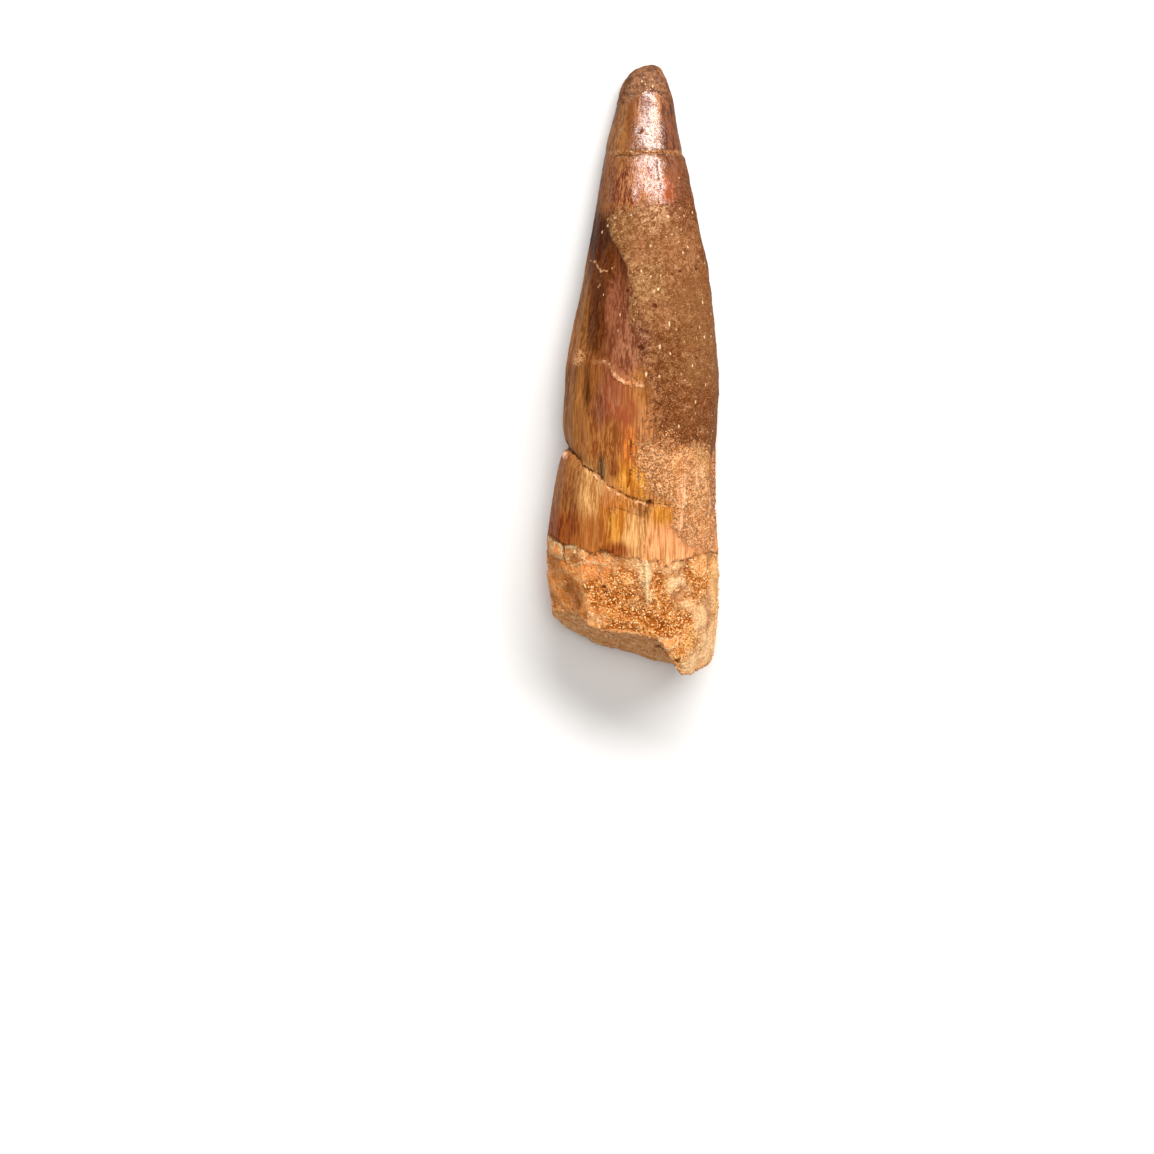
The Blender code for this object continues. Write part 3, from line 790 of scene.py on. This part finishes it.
def weigh(name, weights):
    """A vertex group that holds a number from 0 to 1 at every point."""
    group = tooth.vertex_groups.new(name=name)
    levels = np.round(np.clip(weights, 0, 1) * WEIGHT_STEPS).astype(int)
    for level in range(1, WEIGHT_STEPS + 1):
        chosen = np.flatnonzero(levels == level)
        if len(chosen):
            group.add(chosen.tolist(), level / WEIGHT_STEPS, "REPLACE")
    return name


def displace(name, weights, height, noise_mm=None, depth=2):
    """Moves the surface along its normals, in millimetres, evenly or by noise of a size."""
    settings = {"strength": height * MM, "mid_level": 0.0, "vertex_group": weigh(name, weights)}
    if noise_mm:
        texture = bpy.data.textures.new(name, "CLOUDS")
        texture.noise_scale = noise_mm * MM
        texture.noise_depth = depth
        settings.update(texture=texture, mid_level=0.5, texture_coords="LOCAL")
    use_modifier(tooth, "DISPLACE", **settings)


fray = roughen(0.7, 1) * 0.22 + roughen(0.35, 2) * 0.12
crisp = ease(1.6, 0.5, sand_fray)
sand_weight = ease(-0.12, 0.16, sand + fray) * facing
edge_weight = sand_weight * (crisp + (1 - crisp) * ease(0.0, 3.0, sand))
under_sand_weight = ease(-0.2, 0.3, sand + fray) * (1 - facing)
all_sand_weight = sand_weight + under_sand_weight
crust_weight = ease(-1.2, 0.8, crust + fray * 2)
root_weight = ease(-0.15, 0.15, root + fray * 1.4)
cap_weight = ease(-0.3, 0.3, cap + fray)
crumb_weight = root_weight * (1 - broken) * np.clip(crumb * 1.3, 0.12, 1)
pale_weight = ease(0.3, -0.1, np.abs(pale) - pale_width + fray * 0.5) * pale_force
dark_weight = ease(0.25, -0.1, np.abs(dark) - dark_width) * dark_force**2

# name, weights, height, and for noise its size and depth
displace("sand_edge", edge_weight, 0.16)
displace("sand_edge_under", under_sand_weight, 0.12)
displace("sand_waves", all_sand_weight, 0.2, 2.2)
displace("sand_grains", all_sand_weight, 0.14, 0.6, 1)
displace("enamel_waves", (1 - sand_weight) * (1 - root_weight), 0.1, 1.4, 1)
displace("crust_lumps", crust_weight, 0.4, 1.5)
displace("crust_grains", crust_weight, 0.3, 0.55, 1)
displace("root_edge", root_weight * facing, -0.12)
displace("root_swells", root_weight, 0.3, 2.2)
displace("root_pockets", root_weight * clusters * (1 - broken), -0.25)
displace("root_crumbs", crumb_weight, 0.6, 1.15)
displace("root_fine", crumb_weight, 0.42, 0.5, 1)
displace("cap_wear", cap_weight, 0.2, 0.7)
displace("broken_pores", broken, 0.55, 1.3)
displace("broken_fine", broken, 0.25, 0.5, 1)
displace("plates", ease(-0.1, 0.14, plates + fray), 0.22)
displace("scallop", ease(-0.6, 1.4, scallop + fray), -0.28)
displace("pits", ease(-0.25, 0.6, pits + fray), -0.3)
displace("pale_ridges", pale_weight, 0.2)
displace("cracks", dark_weight, -0.2)
displace("chip", ease(-0.3, 0.4, chip + fray), 0.3)
displace("rosette", ease(0.0, 0.4, rosette + fray), 0.22, 0.45, 1)

before = places
places, _ = read_points()
relief = ((places - before) * outwards).sum(axis=1)
print("relief from", round(float(relief.min()), 2), "to", round(float(relief.max()), 2), "mm")

# %% [markdown]
# ## Rest on the table
#
# The relief has pushed a few grains below the table. The tooth has been worn flat where it lies,
# so those points are pressed flat with a scale of zero along Z about the table's surface.

# %% Press the underside flat
pick(tooth)
bpy.ops.object.mode_set(mode="EDIT")
bpy.ops.mesh.select_all(action="DESELECT")
bpy.ops.object.mode_set(mode="OBJECT")
below = places[:, 2] < 0
tooth.data.vertices.foreach_set("select", below)
bpy.ops.object.mode_set(mode="EDIT")
bpy.ops.transform.resize(value=(1, 1, 0), center_override=(0, 0, 0))
bpy.ops.object.mode_set(mode="OBJECT")
bpy.ops.object.shade_smooth()
tooth.vertex_groups.clear()
print("points pressed flat:", int(below.sum()))

# %% [markdown]
# ## Keep the readings on the mesh
#
# The functions above are gone once the script ends, but a material has to find each point's
# distances and washes again. They could be baked to an image, at an image's resolution. Stored as
# named attributes they stay exact, and an Attribute node reads them by name.


# %% Store the readings on the mesh
def carry(name, values):
    """Keeps a number or a colour at every point of the mesh."""
    kind = "FLOAT" if values.ndim == 1 else "FLOAT_COLOR"
    attribute = tooth.data.attributes.new(name, kind, "POINT")
    key = "value" if kind == "FLOAT" else "color"
    attribute.data.foreach_set(key, values.astype(np.float32).ravel())


READINGS = {
    "polish": polish,
    "joint": np.clip(joint, -2, 2),
    "ground": ground,
    "streak": streak,
    "crumb": crumb,
    "coat": coat,
    "coat_shade": coat_shade,
    "sand_fray": sand_fray,
    "plates": np.clip(plates, -3, 3),
    "broken": broken,
    "dark": dark,
    "dark_width": dark_width,
    "dark_force": dark_force,
    "pale": pale,
    "pale_width": pale_width,
    "pale_force": pale_force,
    "relief": relief,
}
for name, distance in {"sand": sand, "crust": crust, "root": root, "cap": cap}.items():
    READINGS[name] = np.clip(distance, -5, 5)
for name, depth in {"pits": pits, "flecks": flecks, "chip": chip, "rosette": rosette}.items():
    READINGS[name] = np.clip(depth, OUTSIDE, 1)
for name, values in READINGS.items():
    carry(name, values)
print("readings carried:", len(READINGS))

# %% [markdown]
# ## Noises that the finish shares
#
# Streaks in the enamel are noise drawn out along the tooth, in three widths. Grains of sand are
# cells with one tone each. The spongy root and the crust are covered in short curls, which
# are the places where a soft noise crosses its middle value. The same noise crossing a slightly
# higher value gives a line beside each curl, which is painted shadow on the curl's dark side.

# %% Shared noises
STREAK_CYCLES = (1, 0.05, 1)
HAIR_CYCLES = (1, 0.03, 1)

fossil = Recipe("fossil_tooth")
mix, rise, layer, reading = fossil.mix, fossil.rise, fossil.layer, fossil.reading
ground_wash, streak_wash = fossil.wash("ground"), fossil.wash("streak")
wide_streaks = fossil.noise(1.1, 3, 0.6, fossil.stretch(STREAK_CYCLES))
fine_streaks = fossil.noise(0.38, 3, 0.65, fossil.stretch(STREAK_CYCLES))
hair_streaks = fossil.noise(0.17, 2, 0.5, fossil.stretch(HAIR_CYCLES))
mottle = fossil.noise(1.1, 4, 0.65)
speckle = fossil.noise(0.34, 3, 0.7)
grit = fossil.noise(0.16, 2, 0.6)
fray_noise = fossil.noise(0.6, 5, 0.75)
fray_swing = fossil.math("SUBTRACT", fray_noise, 0.5)
grain_tone = fossil.cells(0.34, "Color")
grain_dome = fossil.cells(0.34)
blotches = fossil.noise(2.6, 3, 0.6)


def blend(*parts):
    """A sum of several noises, each with its own share."""
    total = None
    for share, part in parts:
        weighed = fossil.math("MULTIPLY", part, share)
        total = weighed if total is None else fossil.math("ADD", total, weighed)
    return total


def both(first, second):
    """The share that two masks have in common."""
    return fossil.math("MULTIPLY", first, second)


def beyond(mask):
    """Everything that a mask leaves out."""
    return fossil.math("SUBTRACT", 1.0, mask)


def frayed(name, amount):
    """A distance that the mesh carries, with noise of so many millimetres added to it."""
    return blend((1, reading(name)), (amount, fray_swing))


def curls(size, width, level=0.5):
    """Short curls: 1 along the lines where a noise crosses a level, 0 between them."""
    wavy = fossil.noise(size, 1, 0.5, None, 0.4)
    away = fossil.math("ABSOLUTE", fossil.math("SUBTRACT", wavy, level))
    return rise(away, width, width * 0.25)


coarse_curls = curls(0.8, 0.065)
small_curls = curls(0.45, 0.085)
any_curls = fossil.math("MAXIMUM", coarse_curls, small_curls)
# painted shadow: a line beside each curl, where the same noise crosses a slightly higher value
curl_painted_shadows = fossil.math("MAXIMUM", curls(0.8, 0.05, 0.61), curls(0.45, 0.06, 0.63))
print("nodes with the shared noises:", len(fossil.tree.nodes))

# %% [markdown]
# ## Enamel, sand, crust and root
#
# Each layer is mixed alone, as if the whole tooth were made of it. Enamel is the ground wash
# with streaks of the second paint and fine hair lines. Sand is its own two paints, grain by grain.
# The crust and the root are light curls with painted shadow beside them. The root is also painted
# lighter where it stands high and darker where it sinks, as light and shade would fall there. The
# coats of each are listed from the lowest to the uppermost.

# %% Enamel
streak_share = rise(blend((0.5, wide_streaks), (0.5, fine_streaks)), 0.45, 0.56)
lit_ground = mix(0.5, ground_wash, ground_wash, "SCREEN")
enamel = layer(
    ground_wash,
    ("streaks", streak_share, streak_wash),
    ("light hair lines", rise(hair_streaks, 0.54, 0.64, 0.6), lit_ground),
    ("dark hair lines", rise(hair_streaks, 0.46, 0.36, 0.7), streak_wash),
    ("dark specks", rise(speckle, 0.4, 0.3, 0.5), streak_wash),
)
print("nodes with the enamel:", len(fossil.tree.nodes))

# %% Sand and worn cap
LONG_GRAIN_CYCLES = (1, 0.55, 1)

coat_wash, shade_wash = fossil.wash("coat"), fossil.wash("coat_shade")
sand_share = blend((0.7, mottle), (0.35, grain_tone), (0.5, speckle))
long_grains = fossil.cells(1.3, vector=fossil.stretch(LONG_GRAIN_CYCLES))
sand_coat = layer(
    shade_wash,
    ("lit grains", rise(sand_share, 0.66, 0.9), coat_wash),
    ("dull blotches", rise(blotches, 0.5, 0.62, 0.4), shade_wash),
    ("light grit", rise(grit, 0.58, 0.7, 0.65), (230, 176, 126)),
    ("dull grit", rise(grit, 0.42, 0.32, 0.6), shade_wash),
    ("dark gaps", rise(fray_noise, 0.41, 0.31, 0.85), (88, 44, 14)),
    ("pale lace", both(small_curls, rise(mottle, 0.54, 0.66, 0.35)), (232, 184, 138)),
    ("pinholes", rise(fossil.cells(1.7), 0.15, 0.08, 0.7), (92, 46, 16)),
    ("bright grains", rise(long_grains, 0.13, 0.07, 0.8), (246, 206, 160)),
)
cap_tone = layer(
    (156, 106, 72),
    ("dark patches", rise(mottle, 0.4, 0.6), (112, 72, 48)),
    ("dark specks", rise(speckle, 0.46, 0.34, 0.85), (92, 52, 30)),
    ("pale specks", rise(speckle, 0.6, 0.72, 0.6), (206, 156, 122)),
)
print("nodes with the sand and the cap:", len(fossil.tree.nodes))

# %% Crust
crust_tone = layer(
    (206, 130, 72),
    ("dull patches", rise(mottle, 0.4, 0.6), (170, 100, 50)),
    ("wash of the enamel", 0.4, ground_wash),
    ("dull blotches", rise(blotches, 0.48, 0.6, 0.6), (150, 92, 46)),
    ("painted shadow beside the curls", both(curl_painted_shadows, 0.55), (132, 72, 30)),
    ("dark specks", rise(speckle, 0.46, 0.34, 0.6), (146, 84, 34)),
    ("coarse curls", both(coarse_curls, 0.55), (248, 190, 134)),
    ("small curls", both(small_curls, 0.3), (252, 210, 164)),
)
print("nodes with the crust:", len(fossil.tree.nodes))

# %% Root and broken face
crumbly, standing = reading("crumb"), reading("relief")
crumb_share = blend((0.55, crumbly), (0.9, fray_noise))
vein_share = both(rise(crumbly, 0.5, 0.25), rise(mottle, 0.46, 0.6, 0.6))
stain_share = both(rise(crumbly, 0.6, 0.2), rise(fine_streaks, 0.46, 0.6, 0.45))
# painted shade: the root is darkened where its relief sinks into pockets
pocket_painted_shade = both(rise(standing, -0.1, -0.5), rise(crumbly, 0.0, 0.5, 0.85, 0.25))
dentine = layer(
    ground_wash,
    ("crumbs", rise(crumb_share, 0.5, 0.95), streak_wash),
    ("orange blotches", both(rise(blotches, 0.48, 0.62, 0.75), crumbly), (222, 122, 50)),
    # painted light: the root is lightened where its relief stands high
    ("painted light on high places", rise(standing, 0.1, 0.45, 0.4), (255, 204, 140)),
    ("pale veins", vein_share, (255, 206, 152)),
    ("pink stains", stain_share, (246, 150, 88)),
    ("painted shadow beside the curls", both(curl_painted_shadows, rise(crumbly, 0.05, 0.5, 0.9, 0.22)), (146, 70, 14)),
    ("curls", both(any_curls, rise(crumbly, 0.08, 0.5, 0.8, 0.4)), mix(0.5, lit_ground, (255, 216, 150))),
    ("painted shade in deep pockets", pocket_painted_shade, (156, 76, 14)),
    ("dark specks", rise(speckle, 0.42, 0.3, 0.7), (176, 94, 28)),
)
broken_tone = layer(
    (254, 196, 140),
    ("dull patches", rise(mottle, 0.38, 0.62), (226, 152, 94)),
    ("pores", rise(speckle, 0.48, 0.34), (150, 88, 42)),
)
print("nodes with the root:", len(fossil.tree.nodes))

# %% [markdown]
# ## Laying the layers over each other
#
# A mask says where each layer lies. It is the distance that the mesh carries, with noise added
# so that its edge crumbles: little at the chipped rim of the sand, several millimetres
# where the sand thins out to nothing.

# %% Masks and layering
root_mask = rise(frayed("root", 2.2), -0.06, 0.06)
crust_mask = rise(frayed("crust", 11.0), -0.15, 0.15)
cap_mask = rise(frayed("cap", 3.0), -0.15, 0.15)
plate_mask = rise(frayed("plates", 1.4), -0.05, 0.05)
joint_mask = rise(frayed("joint", 1.2), -0.1, 0.1)
sand_noise = both(fray_swing, reading("sand_fray"))
sand_mask = rise(blend((1, reading("sand")), (3.6, sand_noise)), -0.06, 0.06)

joint_tone = layer((128, 78, 42), ("pale specks", rise(speckle, 0.42, 0.6), (188, 138, 98)))
plate_tone = layer(
    (244, 158, 92),
    ("pale patches", rise(mottle, 0.4, 0.6), (255, 190, 126)),
    # partly the chipped edge's own paler colour and partly painted highlight along it
    ("pale rim with painted highlight", rise(reading("plates"), 0.3, 0.08, 0.8), (255, 218, 168)),
)
# painted shadow: a dark band on the root just below the enamel's overhanging edge
shadow_under_lip = both(rise(reading("root"), 0.7, 0.0), rise(fray_noise, 0.44, 0.56))
tone = layer(
    fossil.deepen(enamel, 1.0, 0.95),
    ("glued joint", both(joint_mask, 0.7), joint_tone),
    ("worn cap", cap_mask, cap_tone),
    ("sand", sand_mask, fossil.deepen(sand_coat, 0.97, 0.93)),
    ("crust", crust_mask, crust_tone),
    ("root", root_mask, dentine),
    ("painted shadow under the enamel's edge", both(both(shadow_under_lip, root_mask), 0.8), (134, 64, 14)),
    ("plates", plate_mask, plate_tone),
    ("broken face", reading("broken"), broken_tone),
)
print("nodes with the layers:", len(fossil.tree.nodes))

# %% [markdown]
# ## Cracks, scratches, pits and flecks
#
# These come last, because a crack cuts through every layer. Their edges wander with the noise,
# and a crack that has been filled with glue and dust is darker in some places than in others.


# %% Lines and spots over the layers
def line_mask(name, amount):
    """A mask that is 1 on the fine lines whose distance the mesh carries, with a ragged edge."""
    off = fossil.math("ABSOLUTE", reading(name))
    inside = fossil.math("SUBTRACT", reading(name + "_width"), off)
    ragged = blend((1, inside), (amount, fray_swing))
    return both(rise(ragged, -0.05, 0.04), reading(name + "_force"))


pale_mask = line_mask("pale", 2.0)
dark_mask = line_mask("dark", 0.9)
uneven = rise(mottle, 0.38, 0.52, 1.0, 0.45)
rosette_mask = rise(reading("rosette"), 0.0, 0.4)
pale_tone = layer(
    (226, 146, 96),
    ("pale streaks", rise(fine_streaks, 0.42, 0.56), (252, 202, 154)),
    ("paler on the root", both(root_mask, 0.7), (255, 222, 166)),
)
# painted shade in the pits' hollows, less dark inside the root
pit_shade_tone = layer((78, 36, 14), ("lighter in the root", root_mask, (132, 66, 20)))
chip_tone = layer((222, 140, 100), ("pale specks", rise(speckle, 0.4, 0.6), (254, 214, 184)))
tone = layer(
    tone,
    ("rosette", both(rosette_mask, 0.8), (128, 68, 32)),
    ("painted shadow in the rosette", both(rosette_mask, curl_painted_shadows), (78, 36, 14)),
    ("curls of the rosette", both(rosette_mask, any_curls), (216, 156, 104)),
    ("scratches and ridges", pale_mask, pale_tone),
    ("cracks", both(dark_mask, uneven), (62, 28, 10)),
    # painted shade: the pits are darkened inside their hollows
    ("pits", rise(frayed("pits", 4.0), -0.2, 0.4, 0.85), pit_shade_tone),
    ("flecks", rise(reading("flecks"), -0.2, 0.3, 0.85), (252, 214, 168)),
    ("chip at the notch", rise(frayed("chip", 2.5), -0.1, 0.1), chip_tone),
)
print("nodes with the lines and spots:", len(fossil.tree.nodes))

# %% [markdown]
# ## Gloss and fine relief
#
# Enamel near the point is polished: a clear coat over a satin body, which keeps its highlight
# sharp and lets the colour below stay deep. Lower down it is satin, and everything grown or
# worn over it is dull. The relief too fine for the mesh is a bump, in true millimetres.

# %% Gloss and bump
VARNISH_DEPTH = 1.02
SATIN = 0.45
DULL = 0.65

bare_enamel = beyond(sand_mask)
for cover in (crust_mask, root_mask, cap_mask):
    bare_enamel = both(bare_enamel, beyond(cover))
covered = beyond(bare_enamel)
gloss = rise(bare_enamel, 0.0, 1.0, SATIN, DULL)
cover_left = fossil.math("MAXIMUM", bare_enamel, both(rise(speckle, 0.45, 0.6), 0.4))
worn = rise(speckle, 0.38, 0.52, 1.0, 0.15)
varnish = both(both(cover_left, worn), both(reading("polish"), beyond(joint_mask)))

smooth_height = blend((0.02, fine_streaks), (0.055, speckle))
rough_height = both(blend((0.16, speckle), (-0.14, grain_dome)), covered)
curl_height = both(any_curls, fossil.math("MAXIMUM", crust_mask, root_mask))
height = blend(
    (1, smooth_height), (1, rough_height), (0.1, curl_height), (-0.1, dark_mask), (0.08, pale_mask)
)

fossil.shader.inputs["IOR"].default_value = 1.5
fossil.shader.inputs["Specular IOR Level"].default_value = 0.04
fossil.shader.inputs["Coat IOR"].default_value = 1.95
fossil.shader.inputs["Coat Roughness"].default_value = 0.14
fossil.feed(fossil.shader.inputs["Coat Weight"], varnish)
tooth.data.materials.append(fossil.finish(fossil.deepen(tone, VARNISH_DEPTH), gloss, height))
print("nodes in the tooth's material:", len(fossil.tree.nodes))

# %% [markdown]
# ## Crumbs and grains
#
# The root is worn to short curled crumbs of dentine, the crust is a mat of grains, and single
# crystals stick out of the sand. They are real little solids, so that they catch light and cast
# shadows. Geometry nodes scatter them over a copy of the tooth by a weight, turn and stretch
# each one at random and join them all to one mesh.


# %% Scatter grains
SMALLEST_SHARE = [0.5, 0.5, 0.6]
FULL_TURNS = [math.tau] * 3


def grain_tree(name, weight, per_mm2, radius, stretch, seed):
    """The nodes that scatter grains on a surface, as one realized mesh."""
    tree = bpy.data.node_groups.new(name, "GeometryNodeTree")
    for way in ("INPUT", "OUTPUT"):
        tree.interface.new_socket("Geometry", in_out=way, socket_type="NodeSocketGeometry")
    add = Nodes(tree).add
    surface = add("NodeGroupInput").outputs["Geometry"]
    amount = add("GeometryNodeInputNamedAttribute", {"Name": weight}, data_type="FLOAT")
    share = {0: amount.outputs["Attribute"], 1: per_mm2 / MM**2}
    density = add("ShaderNodeMath", share, operation="MULTIPLY").outputs["Value"]
    spread = {"Seed": seed, "Mesh": surface, "Density": density}
    points = add("GeometryNodeDistributePointsOnFaces", spread).outputs["Points"]

    grain = add("GeometryNodeMeshIcoSphere", {"Radius": radius * MM}).outputs["Mesh"]
    turn = add("FunctionNodeRandomValue", {"Max": FULL_TURNS}, data_type="FLOAT_VECTOR")
    sizes = {"Min": SMALLEST_SHARE, "Max": [1.0, 1.0, stretch], "Seed": seed + 1}
    size = add("FunctionNodeRandomValue", sizes, data_type="FLOAT_VECTOR")
    own_tone = add("FunctionNodeRandomValue", {"Seed": seed + 2})

    laid = {"Points": points, "Instance": grain}
    laid.update({"Rotation": turn.outputs["Value"], "Scale": size.outputs["Value"]})
    scatter = add("GeometryNodeInstanceOnPoints", laid).outputs["Instances"]
    toned = {"Name": "grain", "Geometry": scatter}
    toned["Value"] = next(socket for socket in own_tone.outputs if socket.enabled)
    store = add("GeometryNodeStoreNamedAttribute", toned, domain="INSTANCE").outputs["Geometry"]
    realize = add("GeometryNodeRealizeInstances", {"Geometry": store}).outputs["Geometry"]
    add("NodeGroupOutput", {"Geometry": realize})
    return tree


def grain_finish(name, dark_tone, middle_tone, light_tone):
    """A dull material that gives every grain its own tone between three paints."""
    recipe = Recipe(name)
    own = recipe.reading("grain")
    tint = recipe.layer(
        dark_tone,
        ("middle grains", recipe.rise(own, 0.0, 0.5), middle_tone),
        ("light grains", recipe.rise(own, 0.5, 1.0), light_tone),
        ("dust", recipe.rise(recipe.noise(0.12), 0.45, 0.65, 0.35), middle_tone),
    )
    recipe.shader.inputs["Specular IOR Level"].default_value = 0.4
    return recipe.finish(tint, 0.5)


def grains(name, weights, per_mm2, radius, stretch, seed, paints):
    """One piece of loose grains that ride on the tooth."""
    carry(name + "_weight", weights)
    piece = bpy.data.objects.new(name, tooth.data.copy())
    bpy.context.scene.collection.objects.link(piece)
    tree = grain_tree(name, name + "_weight", per_mm2, radius, stretch, seed)
    use_modifier(piece, "NODES", node_group=tree)
    piece.data.materials.clear()
    piece.data.materials.append(grain_finish(name, *paints))
    bpy.ops.object.shade_smooth()
    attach(piece, "root")
    print(name, "triangles:", len(piece.data.polygons))


off_table = ease(0.5, 1.2, places[:, 2])
clear_of_ridges = ease(-0.1, 0.2, np.abs(pale) - pale_width)
smooth_root = np.maximum(ease(-0.1, 0.3, plates), ease(-0.1, 0.8, scallop))
root_crumb_weight = root_weight * (1 - broken) * np.clip(crumb * 1.5 - 0.2, 0, 1) * (1 - smooth_root)
root_crumb_weight *= off_table * clear_of_ridges
crust_grain_weight = ease(-1.6, 0.6, crust + fray * 3) * (1 - root_weight) * (0.1 + 0.9 * patches)
crust_grain_weight *= off_table * (0.3 + 0.7 * clear_of_ridges)
sand_crystal_weight = sand_weight * off_table * ease(-0.2, 0.6, roughen(3.5, 6))
sand_crystal_weight *= ease(9.0, 4.0, flat[:, 0])

grains(
    "root_crumbs", root_crumb_weight, per_mm2=11.0, radius=0.14, stretch=2.2, seed=11,
    paints=((164, 82, 20), (236, 152, 70), (255, 222, 162)),
)
grains(
    "crust_grains", crust_grain_weight, per_mm2=6.0, radius=0.11, stretch=2.6, seed=21,
    paints=((170, 100, 48), (214, 138, 78), (250, 198, 140)),
)
grains(
    "sand_crystals", sand_crystal_weight, per_mm2=1.8, radius=0.09, stretch=2.2, seed=31,
    paints=((120, 70, 34), (184, 126, 82), (246, 204, 160)),
)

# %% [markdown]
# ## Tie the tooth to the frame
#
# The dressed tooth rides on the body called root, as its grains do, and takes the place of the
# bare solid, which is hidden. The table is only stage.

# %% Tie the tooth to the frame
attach(tooth, "root")
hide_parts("tooth")
print("tied to the frame:", tooth.name, "and as stage:", floor.name)
